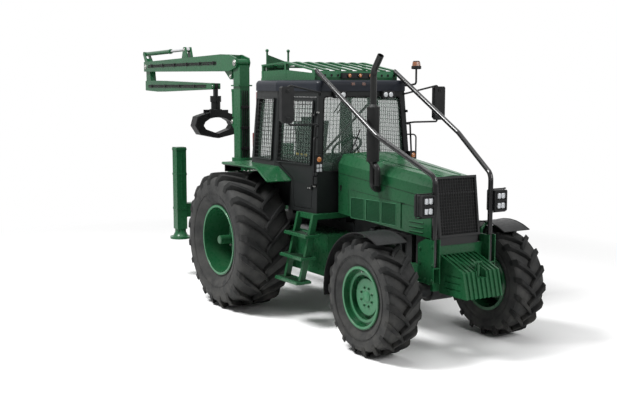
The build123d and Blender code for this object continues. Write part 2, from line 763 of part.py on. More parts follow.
def ballast_weight():
    """Cast nose weight with upright ribs that run on over its sloping top."""
    back = NOSE_X
    shoulder_x = WEIGHT_FRONT - WEIGHT_SHOULDER
    shoulder_z = WEIGHT_TOP - WEIGHT_DROP
    outer = [
        (back, WEIGHT_LOW), (WEIGHT_FRONT, WEIGHT_LOW), (shoulder_x, shoulder_z),
        (back + 20, WEIGHT_TOP), (back, WEIGHT_TOP),
    ]
    inner = [
        (back, WEIGHT_LOW), (WEIGHT_FRONT - RIB_DEPTH, WEIGHT_LOW),
        (shoulder_x - RIB_DEPTH, shoulder_z - RIB_DEPTH * 0.7),
        (back + 20, WEIGHT_TOP - RIB_DEPTH), (back, WEIGHT_TOP - RIB_DEPTH),
    ]
    weight = side_plate(inner, -WEIGHT_HALF, WEIGHT_HALF)
    pitch = (2 * WEIGHT_HALF - RIB_W) / (RIB_COUNT - 1)
    for i in range(RIB_COUNT):
        y = -WEIGHT_HALF + i * pitch
        weight += side_plate(outer, y, y + RIB_W)
    weight -= block(shoulder_x - 110, WEIGHT_FRONT + 10, -60, 60, shoulder_z - 70, WEIGHT_TOP + 10)
    for i in range(WEIGHT_GROOVES):
        z = WEIGHT_LOW + (i + 1) * (shoulder_z - WEIGHT_LOW) / (WEIGHT_GROOVES + 1)
        groove = block(back + 90, shoulder_x - 30, WEIGHT_HALF - GROOVE_DEPTH, WEIGHT_HALF + 5, z, z + GROOVE_W)
        weight -= both(groove)
    pin_x = shoulder_x - 50
    weight += rod((pin_x, 0, shoulder_z - 72), (pin_x, 0, shoulder_z + 60), WEIGHT_PIN_R)
    save("ballast_weight", weight)


# Hood, grille and exhaust

def hood_share(x):
    return (x - HOOD_REAR) / (HOOD_FRONT - HOOD_REAR)


def hood_half(x):
    return HOOD_REAR_HALF + hood_share(x) * (HOOD_FRONT_HALF - HOOD_REAR_HALF)


def hood_split(x):
    """Height of the seam between the lid and the sides."""
    return HOOD_REAR_TOP - hood_share(x) * HOOD_RISE - LID_DEPTH


def hood_section(x, half, low, top, inset):
    """Outline across the hood: upright sides, a creased shoulder and a nearly flat top."""
    w = half - inset
    t = top - inset
    points = [
        (-w, low), (-w, t - HOOD_SHOULDER), (-w + HOOD_SHOULDER_IN, t - HOOD_CROWN), (0, t),
        (w - HOOD_SHOULDER_IN, t - HOOD_CROWN), (w, t - HOOD_SHOULDER), (w, low),
    ]
    plane = Plane(origin=(x, 0, 0), x_dir=(0, 1, 0), z_dir=(1, 0, 0))
    return plane * make_face(Polyline(*points, close=True))


def hood_body(inset, extra):
    rear = hood_section(HOOD_REAR - extra, HOOD_REAR_HALF, HOOD_REAR_LOW - extra, HOOD_REAR_TOP, inset)
    front = hood_section(HOOD_FRONT + extra, HOOD_FRONT_HALF, HOOD_FRONT_LOW - extra, HOOD_FRONT_TOP, inset)
    return loft([rear, front])


def hood_pocket(x0, x1, z0, z1):
    """A shallow sunk field on both hood sides."""
    middle = hood_half((x0 + x1) / 2)
    slope = degrees(atan2(HOOD_REAR_HALF - HOOD_FRONT_HALF, HOOD_FRONT - HOOD_REAR))
    field = Box(x1 - x0, 2 * VENT_DEPTH, z1 - z0)
    return both(Pos((x0 + x1) / 2, middle, (z0 + z1) / 2) * Rot(0, 0, -slope) * field)


def hood_hinge():
    """Lid arm with its pin, and the two bracket plates that carry the pin, on the left."""
    x, z = LID_HINGE_X, LID_HINGE_Z
    arm_in = LID_HINGE_Y - LID_HINGE_W / 2
    arm_out = LID_HINGE_Y + LID_HINGE_W / 2
    arm = pin_y(x, z, arm_in, arm_out, LID_HINGE_R)
    arm += block(x - LID_HINGE_R, x + LID_HINGE_R, arm_in, arm_out, z, z + LID_HINGE_DROP - HOOD_WALL - 4)
    arm += pin_y(x, z, arm_in - BRACKET_T - FACE_FIT, arm_out + BRACKET_T + FACE_FIT, LID_PIN_R)
    root = GEARBOX_FRONT + 6
    low = hood_split(HOOD_REAR) - 130
    outline = [
        (root, low), (root + SHEET, low), (root + SHEET, z - 40), (x + 24, z + 16), (x - 8, z + 16),
        (x - 16, z + 8), (x - 16, z - 8), (x - 8, z - 16), (root, z - 70),
    ]
    plates = side_plate(outline, arm_in - FACE_FIT - BRACKET_T, arm_in - FACE_FIT)
    plates += side_plate(outline, arm_out + FACE_FIT, arm_out + FACE_FIT + BRACKET_T)
    plates -= pin_y(x, z, 0, arm_out + 2 * BRACKET_T, LID_PIN_R + PIN_FIT)
    return arm, plates


def hood():
    shell = hood_body(0, 0) - hood_body(HOOD_WALL, 5)
    seam_rear = hood_split(HOOD_REAR - 50)
    seam_front = hood_split(HOOD_FRONT + 50)
    over = HOOD_REAR_TOP + 100
    wide = HOOD_REAR_HALF + 100
    above = side_plate(
        [(HOOD_REAR - 50, seam_rear + LID_GAP), (HOOD_FRONT + 50, seam_front + LID_GAP), (HOOD_FRONT + 50, over),
         (HOOD_REAR - 50, over)],
        -wide, wide,
    )
    below = side_plate(
        [(HOOD_REAR - 50, HOOD_FRONT_LOW - 100), (HOOD_FRONT + 50, HOOD_FRONT_LOW - 100),
         (HOOD_FRONT + 50, seam_front), (HOOD_REAR - 50, seam_rear)],
        -wide, wide,
    )
    arm, plates = hood_hinge()
    save("hood_lid", (shell & above) + both(arm))
    sides = shell & below
    first = HOOD_REAR + VENT_REAR
    pitch = (HOOD_FRONT - VENT_AHEAD - first + VENT_BAR) / VENT_COUNT
    for i in range(VENT_COUNT):
        x0 = first + i * pitch
        sides -= hood_pocket(x0, x0 + pitch - VENT_BAR, VENT_LOW, VENT_TOP)
    slot_x = HOOD_FRONT - SLOT_BACK
    sides -= hood_pocket(slot_x, slot_x + SLOT_W, SLOT_LOW, SLOT_TOP)
    louvre_x = HOOD_FRONT - LOUVRE_BACK
    for i in range(VENT_COUNT):
        z = LOUVRE_LOW + i * LOUVRE_PITCH
        sides -= hood_pocket(louvre_x, louvre_x + LOUVRE_L, z, z + LOUVRE_H)
    pipe_z = hood_split(EXHAUST_X) - ELBOW_DROP
    sides -= rod((EXHAUST_X, EXHAUST_Y, pipe_z), (EXHAUST_X, 0, pipe_z), STACK_R)
    rear_x = GEARBOX_FRONT + 6
    rear_half = hood_half(rear_x + SHEET) - HOOD_WALL + 4
    bulkhead = block(rear_x, rear_x + SHEET, -rear_half, rear_half, HOOD_REAR_LOW + 10,
                     hood_split(rear_x + SHEET) - 4)
    bulkhead -= block(rear_x - 5, rear_x + SHEET + 5, -ENGINE_HALF, ENGINE_HALF, ENGINE_LOW, ENGINE_TOP)
    front_x = RADIATOR_FRONT
    front_half = hood_half(front_x + SHEET) - HOOD_WALL + 4
    shroud_top = hood_split(front_x + SHEET) - 4
    shroud = block(front_x, front_x + SHEET, -front_half, front_half, HOOD_REAR_LOW - 60, shroud_top)
    shroud -= block(front_x - 5, front_x + SHEET + 5, -RADIATOR_HALF + 30, RADIATOR_HALF - 30,
                    HOOD_REAR_LOW - 100, shroud_top - 66)
    save("hood_sides", sides + bulkhead + shroud + both(plates))


def grille():
    """Wire guard in a frame that leans back, over the radiator."""
    height = hypot(GRILLE_TOP - GRILLE_LOW, GRILLE_LOW_X - GRILLE_TOP_X)
    lean = degrees(atan2(GRILLE_LOW_X - GRILLE_TOP_X, GRILLE_TOP - GRILLE_LOW))
    inner = GRILLE_HALF - GRILLE_FRAME
    body = Box(30, 2 * GRILLE_HALF, height) - Box(60, 2 * inner, height - 2 * GRILLE_FRAME)
    columns = int(2 * inner / GRILLE_PITCH)
    for i in range(columns):
        y = (i - (columns - 1) / 2) * GRILLE_PITCH
        body += Pos(6, y, 0) * Box(GRILLE_WIRE, GRILLE_WIRE, height - GRILLE_FRAME)
    rows = int((height - 2 * GRILLE_FRAME) / GRILLE_PITCH)
    for i in range(rows):
        z = (i - (rows - 1) / 2) * GRILLE_PITCH
        body += Pos(0, 0, z) * Box(GRILLE_WIRE, 2 * GRILLE_HALF - GRILLE_FRAME, GRILLE_WIRE)
    body += Pos(-6, 0, height * 0.22) * Box(14, 2 * GRILLE_HALF - GRILLE_FRAME, 18)
    place = Pos((GRILLE_TOP_X + GRILLE_LOW_X) / 2, 0, (GRILLE_TOP + GRILLE_LOW) / 2) * Rot(0, -lean, 0)
    ledge = NOSE_TOP + 2
    chin = side_plate(
        [(NOSE_X - CHIN_BEHIND, RAIL_TOP), (NOSE_X - NOSE_T, RAIL_TOP), (NOSE_X - NOSE_T, ledge),
         (NOSE_X + CHIN_AHEAD, ledge), (NOSE_X + CHIN_AHEAD, GRILLE_LOW + 6), (NOSE_X - CHIN_BEHIND, GRILLE_LOW + 6)],
        -CHIN_HALF, CHIN_HALF,
    )
    save("grille", place * body + chin)


def exhaust():
    x, y = EXHAUST_X, EXHAUST_Y
    can = turned_up(x, y, [
        (0, MUFFLER_LOW - MUFFLER_CONE), (STACK_R, MUFFLER_LOW - MUFFLER_CONE), (MUFFLER_R, MUFFLER_LOW),
        (MUFFLER_R, MUFFLER_TOP), (STACK_R, MUFFLER_TOP + MUFFLER_CONE), (0, MUFFLER_TOP + MUFFLER_CONE),
    ])
    bend = (x, y, STACK_TOP - 190)
    tip = (x + STACK_LEAN, y, STACK_TOP - 20)
    stack = tube_run([(x, y, MUFFLER_TOP), bend, tip], STACK_R, 150)
    inside = Vector(tip) + (Vector(bend) - Vector(tip)) * 0.35
    stack -= rod(inside, Vector(tip) + (Vector(tip) - inside), STACK_BORE_R)
    pipe_z = hood_split(x) - ELBOW_DROP
    entry_y = -hood_half(x) + HOOD_WALL
    elbow = tube_run([(x, y, MUFFLER_LOW), (x, y, pipe_z), (x, entry_y, pipe_z)], STACK_R, 75)
    save("exhaust", can + stack + elbow)


# Cab

def cab_outline(inset):
    """Plan of the cab at floor height, narrower towards the front."""
    half = [
        (CAB_REAR + inset, CAB_REAR_HALF - inset), (CAB_MID, CAB_MID_HALF - inset),
        (CAB_FRONT - inset, CAB_FRONT_HALF - inset),
    ]
    points = [(x, -y) for x, y in half] + half[::-1]
    return make_face(Polyline(*points, close=True))


def cab_block(inset, low, top):
    """The tapered cab volume, with its walls set in by a thickness."""
    set_in = inset + (low - CAB_FLOOR) * tan(radians(CAB_TAPER))
    return extrude(Pos(0, 0, low) * cab_outline(set_in), amount=top - low, taper=CAB_TAPER)


def arch_space(half, lift):
    """The space over the rear wheels, kept out of the cab."""
    top = CAB_WAIST + lift
    outline = [
        (CAB_REAR - 300, CAB_FLOOR - 200), (ARCH_FRONT + lift, CAB_FLOOR - 200),
        (ARCH_FRONT + lift, top - ARCH_DROP), (ARCH_FRONT + lift - ARCH_SLOPE, top), (CAB_REAR - 300, top),
    ]
    return both(side_plate(outline, half, CAB_MID_HALF + 300))


def cab_shell(inset_out, inset_in, floor):
    outer = cab_block(inset_out, CAB_FLOOR, CAB_TOP) - arch_space(ARCH_HALF - inset_out, inset_out)
    inner = cab_block(inset_in, CAB_FLOOR + floor, CAB_TOP + 50)
    inner -= arch_space(ARCH_HALF - inset_in, inset_in)
    return outer - inner


def wall_plane(x0, y0, x1, y1):
    """Plane on a leaning cab wall: X along the wall, Y up it, Z outward. The wall runs from 0 to 1."""
    along = Vector(x1 - x0, y1 - y0, 0).normalized()
    level = Vector(along.Y, -along.X, 0)
    outward = level * cos(radians(CAB_TAPER)) + Vector(0, 0, sin(radians(CAB_TAPER)))
    return Plane(origin=(x0, y0, CAB_FLOOR), x_dir=along, z_dir=outward)


def wall_prism(plane, points, radius=0, depth=CAB_WALL + DOOR_GAP):
    """A prism through a cab wall."""
    if radius:
        outline = FilletPolyline(*points, radius=radius, close=True)
    else:
        outline = Polyline(*points, close=True)
    return extrude(plane * make_face(outline), amount=depth, both=True)


def roof_shape():
    lean_in = (CAB_TOP - CAB_FLOOR) * tan(radians(CAB_TAPER))
    plan = cab_outline(lean_in - ROOF_OVERHANG)
    plan = fillet(plan.vertices(), 60)
    roof = extrude(Pos(0, 0, CAB_TOP) * plan, amount=ROOF_H)
    return fillet(roof.faces().sort_by(Axis.Z)[-1].edges(), ROOF_EDGE_R)


def side_planes():
    rear = wall_plane(CAB_MID, CAB_MID_HALF, CAB_REAR, CAB_REAR_HALF)
    door = wall_plane(CAB_FRONT, CAB_FRONT_HALF, CAB_MID, CAB_MID_HALF)
    return rear, door


def door_hinges(plane):
    """Straps with rolled knuckles on one upright line: those of the door, and those of the pillar."""
    u = DOOR_PILLAR + 3
    half = HINGE_H / 2
    moving = None
    fixed = None
    for v in (HINGE_LOW, HINGE_HIGH):
        leaf = plane * Pos(u + 3 + HINGE_STRAP / 2, v - half / 2, HINGE_STRAP_T / 2) * Box(
            HINGE_STRAP, half, HINGE_STRAP_T)
        leaf += plane * Pos(u, v - half / 2, HINGE_OUT) * Cylinder(HINGE_R, half, rotation=(90, 0, 0))
        post = plane * Pos(u - HINGE_STRAP / 2, v + half / 2 + FACE_FIT, HINGE_STRAP_T / 2) * Box(
            HINGE_STRAP, half, HINGE_STRAP_T)
        post += plane * Pos(u, v + half / 2 + FACE_FIT, HINGE_OUT) * Cylinder(HINGE_R, half, rotation=(90, 0, 0))
        moving = leaf if moving is None else moving + leaf
        fixed = post if fixed is None else fixed + post
    return moving, fixed


def cab():
    shell = cab_shell(0, CAB_WALL, FLOOR_T)
    layer = cab_shell(GLASS_SET, GLASS_SET + GLASS_T, FLOOR_T + 10)
    rear_plane, door_plane = side_planes()
    rear_len = hypot(CAB_MID - CAB_REAR, CAB_MID_HALF - CAB_REAR_HALF)
    door_len = hypot(CAB_FRONT - CAB_MID, CAB_MID_HALF - CAB_FRONT_HALF)

    # Door outline along its wall, from the front pillar back: u grows to the rear
    u0 = DOOR_PILLAR
    u1 = door_len - 40
    slope_u = (CAB_FRONT - ARCH_FRONT) * door_len / (CAB_FRONT - CAB_MID) - 30
    low_v = FLOOR_T - 5
    arch_v = CAB_WAIST - ARCH_DROP - CAB_FLOOR + 10
    waist_v = CAB_WAIST - CAB_FLOOR + 40
    outline = [
        (u0, low_v), (u0 + 330, low_v), (slope_u, arch_v), (u1 - 60, waist_v), (u1, waist_v), (u1, HEAD_V),
        (u0, HEAD_V),
    ]
    hole = wall_prism(door_plane, outline)
    g = DOOR_GAP
    leaf_outline = [
        (u0 + g, low_v + g), (u0 + 330 - g, low_v + g), (slope_u - g, arch_v + g), (u1 - 60 - g, waist_v + g),
        (u1 - g, waist_v + g), (u1 - g, HEAD_V - g), (u0 + g, HEAD_V - g),
    ]
    leaf = shell & wall_prism(door_plane, leaf_outline, depth=CAB_WALL)
    pane = [
        (u0 + DOOR_FRAME, WINDOW_SILL), (u1 - DOOR_FRAME, WINDOW_SILL + 20), (u1 - DOOR_FRAME, HEAD_V - DOOR_FRAME),
        (u0 + DOOR_FRAME, HEAD_V - DOOR_FRAME),
    ]
    door_window = wall_prism(door_plane, pane, WINDOW_R)
    moving, fixed = door_hinges(door_plane)
    save_pair("door", leaf - door_window + moving)
    save_pair("door_glass", layer & door_window)

    # Fixed windows
    side_pane = [
        (PILLAR, WINDOW_SILL + 10), (rear_len - 125, WINDOW_SILL + 10), (rear_len - 175, HEAD_V - 30),
        (PILLAR, HEAD_V - 30),
    ]
    side_window = wall_prism(rear_plane, side_pane, WINDOW_R)
    front_plane = wall_plane(CAB_FRONT, -CAB_FRONT_HALF, CAB_FRONT, CAB_FRONT_HALF)
    front_pane = [
        (90, SCREEN_SILL), (2 * CAB_FRONT_HALF - 90, SCREEN_SILL), (2 * CAB_FRONT_HALF - 150, HEAD_V), (150, HEAD_V),
    ]
    screen = wall_prism(front_plane, front_pane, WINDOW_R)
    back_plane = wall_plane(CAB_REAR, CAB_REAR_HALF, CAB_REAR, -CAB_REAR_HALF)
    back_pane = [
        (130, WINDOW_SILL), (2 * CAB_REAR_HALF - 130, WINDOW_SILL), (2 * CAB_REAR_HALF - 170, HEAD_V), (170, HEAD_V),
    ]
    back = wall_prism(back_plane, back_pane, WINDOW_R)
    body = shell - both(hole) - both(side_window) - screen - back + both(fixed)
    save("cab_glass", both(layer & side_window) + (layer & screen) + (layer & back))
    cut = CAB_WAIST + 20
    low_half = block(CAB_REAR - 100, CAB_FRONT + 100, -CAB_MID_HALF - 100, CAB_MID_HALF + 100, CAB_FLOOR - 50, cut)
    pedestal = block(SEAT_REAR + 50, SEAT_FRONT - 100, -SEAT_HALF + 50, SEAT_HALF - 50,
                     SEAT_FLOOR - 5, SEAT_FLOOR + SEAT_LIFT)
    save("cab_tub", (body & low_half) + pedestal)
    save("cab_frame", body - low_half)
    save("cab_roof", roof_shape())


def fenders():
    """Angular guard over each rear wheel, level and then sloping down at its front."""
    top = CAB_WAIST - FENDER_T
    front = ARCH_FRONT - ARCH_SLOPE
    outline = [
        (FENDER_REAR, top), (front - 8, top), (ARCH_FRONT - 22, top - ARCH_DROP),
        (ARCH_FRONT, top - ARCH_DROP + 12), (front, CAB_WAIST), (FENDER_REAR, CAB_WAIST),
    ]
    save("rear_fenders", both(side_plate(outline, ARCH_HALF, FENDER_OUT)))


def seat_and_controls():
    base = SEAT_FLOOR + SEAT_LIFT
    head = CAB_TOP - SEAT_HEAD_GAP
    cushion = side_plate(
        [(SEAT_REAR, base), (SEAT_FRONT, base), (SEAT_FRONT, base + SEAT_T), (SEAT_REAR, base + SEAT_T - 20)],
        -SEAT_HALF, SEAT_HALF, 30,
    )
    foot = base + SEAT_T - 10
    back_x = SEAT_REAR + 40
    back = side_plate(
        [(back_x - SEAT_BACK_T, foot), (back_x, foot), (back_x - 70, head), (back_x - 70 - SEAT_BACK_T, head)],
        -SEAT_HALF + 10, SEAT_HALF - 10, 30,
    )
    heel = block(SEAT_REAR - 30, SEAT_REAR + 35, -SEAT_HALF + 10, SEAT_HALF - 10, base + 60, foot + 40)
    save("seat", cushion + back + heel)
    front = CAB_FRONT - DASH_SET
    rear = front - DASH_DEPTH
    high = SEAT_FLOOR + DASH_H
    dash = side_plate(
        [(rear, SEAT_FLOOR), (front, SEAT_FLOOR), (front, high - 100), (front - 70, high), (rear, high - 120)],
        -DASH_HALF, DASH_HALF, 20,
    )
    lean = radians(WHEEL_LEAN)
    root = Vector(rear + 70, 0, high - 100)
    up = Vector(-sin(lean), 0, cos(lean))
    plane = Plane(origin=root + up * (COLUMN_ROD_L + 8), z_dir=up)
    ring = plane * Torus(WHEEL_RING_R, WHEEL_WIRE_R)
    spokes = plane * (Box(2 * WHEEL_RING_R, 36, 12) + Cylinder(45, 30))
    save("dash_and_steering_wheel", dash + rod(root, root + up * COLUMN_ROD_L, COLUMN_ROD_R) + ring + spokes)


# Roof guard, lamps, mirrors and steps

def guard_z(x):
    """Underside of the slats: they rise from the rear to a ridge and fall to the front."""
    if x < GUARD_PEAK_X:
        share = (x - GUARD_REAR) / (GUARD_PEAK_X - GUARD_REAR)
        return ROOF_TOP + GUARD_REAR_RISE + share * (GUARD_PEAK - GUARD_REAR_RISE) - SLAT_T
    share = (x - GUARD_PEAK_X) / (GUARD_FRONT - GUARD_PEAK_X)
    return ROOF_TOP + GUARD_PEAK + share * (GUARD_FRONT_RISE - GUARD_PEAK) - SLAT_T


def roof_guard():
    base_top = ROOF_TOP + GUARD_BASE_T
    inner = GUARD_HALF - GUARD_BORDER
    base = block(GUARD_REAR, GUARD_FRONT, -GUARD_HALF, GUARD_HALF, ROOF_TOP, base_top)
    base -= block(GUARD_REAR + GUARD_BORDER, GUARD_FRONT - GUARD_BORDER, -inner, inner, ROOF_TOP - 5, base_top + 5)
    strip = block(GUARD_FRONT - GUARD_STRIP_T, GUARD_FRONT, -GUARD_HALF, GUARD_HALF, ROOF_TOP,
                  ROOF_TOP + GUARD_STRIP_H)
    guard = base + strip
    rear, peak, front = GUARD_REAR + 10, GUARD_PEAK_X, GUARD_FRONT - 5
    outline = [(rear, guard_z(rear)), (peak, guard_z(peak)), (front, guard_z(front))]
    outline += [(x, z + SLAT_T) for x, z in reversed(outline)]
    pitch = (2 * GUARD_HALF - SLAT_W) / (SLAT_COUNT - 1)
    for i in range(SLAT_COUNT):
        y = -GUARD_HALF + i * pitch
        guard += side_plate(outline, y, y + SLAT_W)
    half = GUARD_POST / 2
    for x in (GUARD_REAR + 40, GUARD_PEAK_X, GUARD_FRONT - 40):
        under = guard_z(x)
        guard += block(x - half, x + half, -GUARD_HALF, GUARD_HALF, under - SLAT_T, under + 3)
        leg = block(x - half, x + half, GUARD_HALF - GUARD_POST, GUARD_HALF, base_top - 1, under)
        guard += both(leg)
    x = GUARD_REAR + HORN_R + 5
    high = ROOF_TOP + HORN_TOP
    for y in HORN_Y:
        guard += rod((x, y, base_top - 1), (x, y, high - HORN_BALL_R), HORN_R)
        guard += Pos(x, y, high - HORN_BALL_R) * Sphere(HORN_BALL_R)
    near, far = HORN_Y
    sheet = cross_plate(
        [(near, base_top + 90), (far, base_top + 90), (far, high - 170), (near, high - 70)], x - 4, x + 4)
    save("roof_guard", guard + sheet)


def lamps():
    x = GUARD_FRONT
    mid = ROOF_TOP + GUARD_STRIP_H / 2
    bar = block(x, x + 55, -ROOF_LAMP_HALF, ROOF_LAMP_HALF, mid - ROOF_LAMP_H / 2, mid + ROOF_LAMP_H / 2)
    for i in (-1, 0, 1):
        y = i * ROOF_LAMP_PITCH
        bar += rod((x + 50, y, mid), (x + 75, y, mid), ROOF_LAMP_R)
    cab_volume = cab_block(0, CAB_FLOOR, CAB_TOP)
    lean = tan(radians(CAB_TAPER))
    head_x = CAB_FRONT - (CAB_TOP - CAB_FLOOR) * lean
    work = block(head_x - 20, head_x - 20 + WORK_LAMP_D, WORK_LAMP_Y - WORK_LAMP_W / 2, WORK_LAMP_Y + WORK_LAMP_W / 2,
                 CAB_TOP - WORK_LAMP_H, CAB_TOP) - cab_volume
    lamp_x = CAB_FRONT - 20
    lamp_top = TURN_LAMP_LOW + TURN_LAMP_H
    turn = block(lamp_x, lamp_x + TURN_LAMP_D, TURN_LAMP_Y - TURN_LAMP_W / 2, TURN_LAMP_Y + TURN_LAMP_W / 2,
                 TURN_LAMP_LOW, lamp_top)
    loop_x = lamp_x + TURN_LAMP_D / 2
    loop_y = TURN_LAMP_Y + TURN_LAMP_W / 2 + LOOP_R
    loop = tube_run(
        [(loop_x - 100, TURN_LAMP_Y - 60, lamp_top + 200), (loop_x, loop_y, lamp_top + 200),
         (loop_x, loop_y, TURN_LAMP_LOW - 40), (loop_x - 100, TURN_LAMP_Y - 60, TURN_LAMP_LOW - 40)],
        LOOP_R, 40,
    )
    turn = turn + loop - cab_volume
    roof = roof_shape()
    foot_z = CAB_TOP + ROOF_H / 2
    base_x = CAB_FRONT - 10
    top_z = ROOF_TOP + BEACON_RISE
    stalk = tube_run(
        [(GUARD_FRONT, BEACON_Y - 130, foot_z), (GUARD_FRONT + 20, BEACON_Y - 10, foot_z),
         (base_x, BEACON_Y, foot_z + 20), (base_x, BEACON_Y, top_z)],
        STALK_R, 35,
    )
    beacon = turned_up(base_x, BEACON_Y, [
        (0, top_z - 5), (BEACON_R, top_z - 5), (BEACON_R, top_z + 28), (BEACON_R - 10, top_z + 34),
        (BEACON_R - 16, top_z + BEACON_H - 12), (BEACON_R - 26, top_z + BEACON_H), (0, top_z + BEACON_H),
    ])
    save("cab_lamps", bar + both(work + turn) + (stalk - roof + beacon))
    back = POST_X - POST_R - 60
    inside = POST_Y + POST_R
    head = block(back, back + HEADLAMP_D, inside, inside + HEADLAMP_W, HEADLAMP_LOW, HEADLAMP_LOW + HEADLAMP_H)
    head = fillet(head.edges().filter_by(Axis.X), HEADLAMP_R)
    lens_h = (HEADLAMP_H - 3 * LENS_RIM) / 2
    for i in (0, 1):
        z = HEADLAMP_LOW + LENS_RIM + i * (lens_h + LENS_RIM)
        head -= block(back + HEADLAMP_D - LENS_DEPTH, back + HEADLAMP_D + 5, inside + LENS_RIM,
                      inside + HEADLAMP_W - LENS_RIM, z, z + lens_h)
    save("headlamps", both(head))


def mirrors():
    """Upright mirror heads between two bent rods from each front pillar."""
    top = CAB_TOP + MIRROR_RISE
    low = top - MIRROR_H
    mid_y = (MIRROR_IN + MIRROR_OUT) / 2
    x = CAB_FRONT
    r = MIRROR_ROD_R
    upper = [(x - 110, CAB_FRONT_HALF - 110, CAB_TOP - 45), (x, CAB_FRONT_HALF - 50, CAB_TOP - 15),
             (x, mid_y - 40, top + 10), (x - 15, mid_y, top - 20)]
    lower = [(x - 15, mid_y, low + 20), (x, mid_y - 40, low - 20), (x, CAB_FRONT_HALF + 10, low - 20),
             (x - 110, CAB_FRONT_HALF - 100, low - 40)]
    cut = MIRROR_CHAMFER
    head = cross_plate(
        [(MIRROR_IN + cut, low), (MIRROR_OUT - cut, low), (MIRROR_OUT, low + cut), (MIRROR_OUT, top - cut / 2),
         (MIRROR_OUT - cut / 2, top), (MIRROR_IN + cut / 2, top), (MIRROR_IN, top - cut / 2), (MIRROR_IN, low + cut)],
        x - MIRROR_T * 2 / 3, x + MIRROR_T / 3,
    )
    arms = tube_run(upper, r, 30) + tube_run(lower, r, 30)
    save("mirrors", both(arms + head - cab_block(0, CAB_FLOOR, CAB_TOP)))


def ladders():
    """Sloping boarding steps under each door, and the tanks behind them."""
    rear = CAB_FRONT - LADDER_REAR
    front = CAB_FRONT + LADDER_FRONT
    half = LADDER_BEAM / 2
    steps = block(rear - half, HOOD_REAR - 5, GEARBOX_HALF, LADDER_IN + 10, LADDER_TOP - 60, LADDER_TOP)
    for x in (rear, front):
        steps += cross_plate(
            [(LADDER_IN - 40, LADDER_TOP), (LADDER_IN + 30, LADDER_TOP), (LADDER_OUT + 35, LADDER_LOW),
             (LADDER_OUT - 35, LADDER_LOW)],
            x - half, x + half,
        )
    middle = (rear + front) / 2
    for share in TREAD_SHARES:
        z = LADDER_LOW + share * (LADDER_TOP - LADDER_LOW)
        y = LADDER_OUT + share * (LADDER_IN - LADDER_OUT)
        steps += block(middle - TREAD_L / 2, middle + TREAD_L / 2, y + 15 - TREAD_W / 2, y + 15 + TREAD_W / 2,
                       z - TREAD_T / 2, z + TREAD_T / 2)
    save("ladders", both(steps))
    tank = side_plate(
        [(TANK_REAR, TANK_LOW + 60), (TANK_REAR + 60, TANK_LOW), (GEARBOX_FRONT, TANK_LOW), (GEARBOX_FRONT, TANK_TOP),
         (TANK_REAR, TANK_TOP)],
        GEARBOX_HALF, TANK_OUT, 40,
    )
    save("fuel_tanks", both(tank))


# Crane

def crane_base():
    deck_z = BASE_LOW + 230
    tail = BASE_TAIL
    rails = block(tail, GEARBOX_REAR, 130, 230, BASE_LOW + 50, deck_z)
    under = SLEW_Z - SLEW_FLANGE_T
    pedestal = rod((COLUMN_X, 0, deck_z), (COLUMN_X, 0, under), PEDESTAL_R)
    pedestal += rod((COLUMN_X, 0, under), (COLUMN_X, 0, SLEW_Z), SLEW_FLANGE_R)
    deck = block(tail, COLUMN_X + 260, -230, 230, deck_z - 20, deck_z + 2)
    hitch = block(tail - HITCH_L, tail, -60, 60, BASE_LOW + 70, BASE_LOW + 100)
    hitch += block(tail - HITCH_L, tail, -60, 60, BASE_LOW + 170, BASE_LOW + 200)
    hitch += block(tail - 25, tail, -230, 230, BASE_LOW + 50, deck_z)
    bore_x = tail - HITCH_BORE_BACK
    hitch -= rod((bore_x, 0, BASE_LOW), (bore_x, 0, BASE_LOW + 300), HITCH_BORE_R)
    save("crane_base", both(rails) + pedestal + deck + hitch)


def stabilizer_frame():
    """Cross beam that lies on the deck, with the leg housings at its ends."""
    deck_top = BASE_LOW + 230 + 2
    half = LEG_OUT / 2
    bore = half - LEG_WALL
    x, y = STABILIZER_X, STABILIZER_Y
    front = x + STABILIZER_BACK - PEDESTAL_R - 5
    beam = block(x - 90, front, half - y, y - half, deck_top, deck_top + 198)
    house = block(x - half, x + half, y - half, y + half, BASE_LOW + 60, LEG_HOUSE_TOP)
    house -= block(x - bore, x + bore, y - bore, y + bore, BASE_LOW, LEG_HOUSE_TOP - 15)
    gusset = block(x + half, x + half + 10, y - 8, y + 8, deck_top + 278, LEG_HOUSE_TOP - 90)
    save("stabilizer_frame", beam + both(house + gusset))


def stabilizer_legs():
    x, y = STABILIZER_X, STABILIZER_Y
    half = LEG_OUT / 2 - LEG_WALL - LEG_FIT
    leg = block(x - half, x + half, y - half, y + half, LEG_FOOT_Z + LEG_FOOT_T - 2, LEG_HOUSE_TOP - 60)
    foot = rod((x, y, LEG_FOOT_Z), (x, y, LEG_FOOT_Z + LEG_FOOT_T), LEG_FOOT_R)
    save_pair("stabilizer_leg", leg + foot)


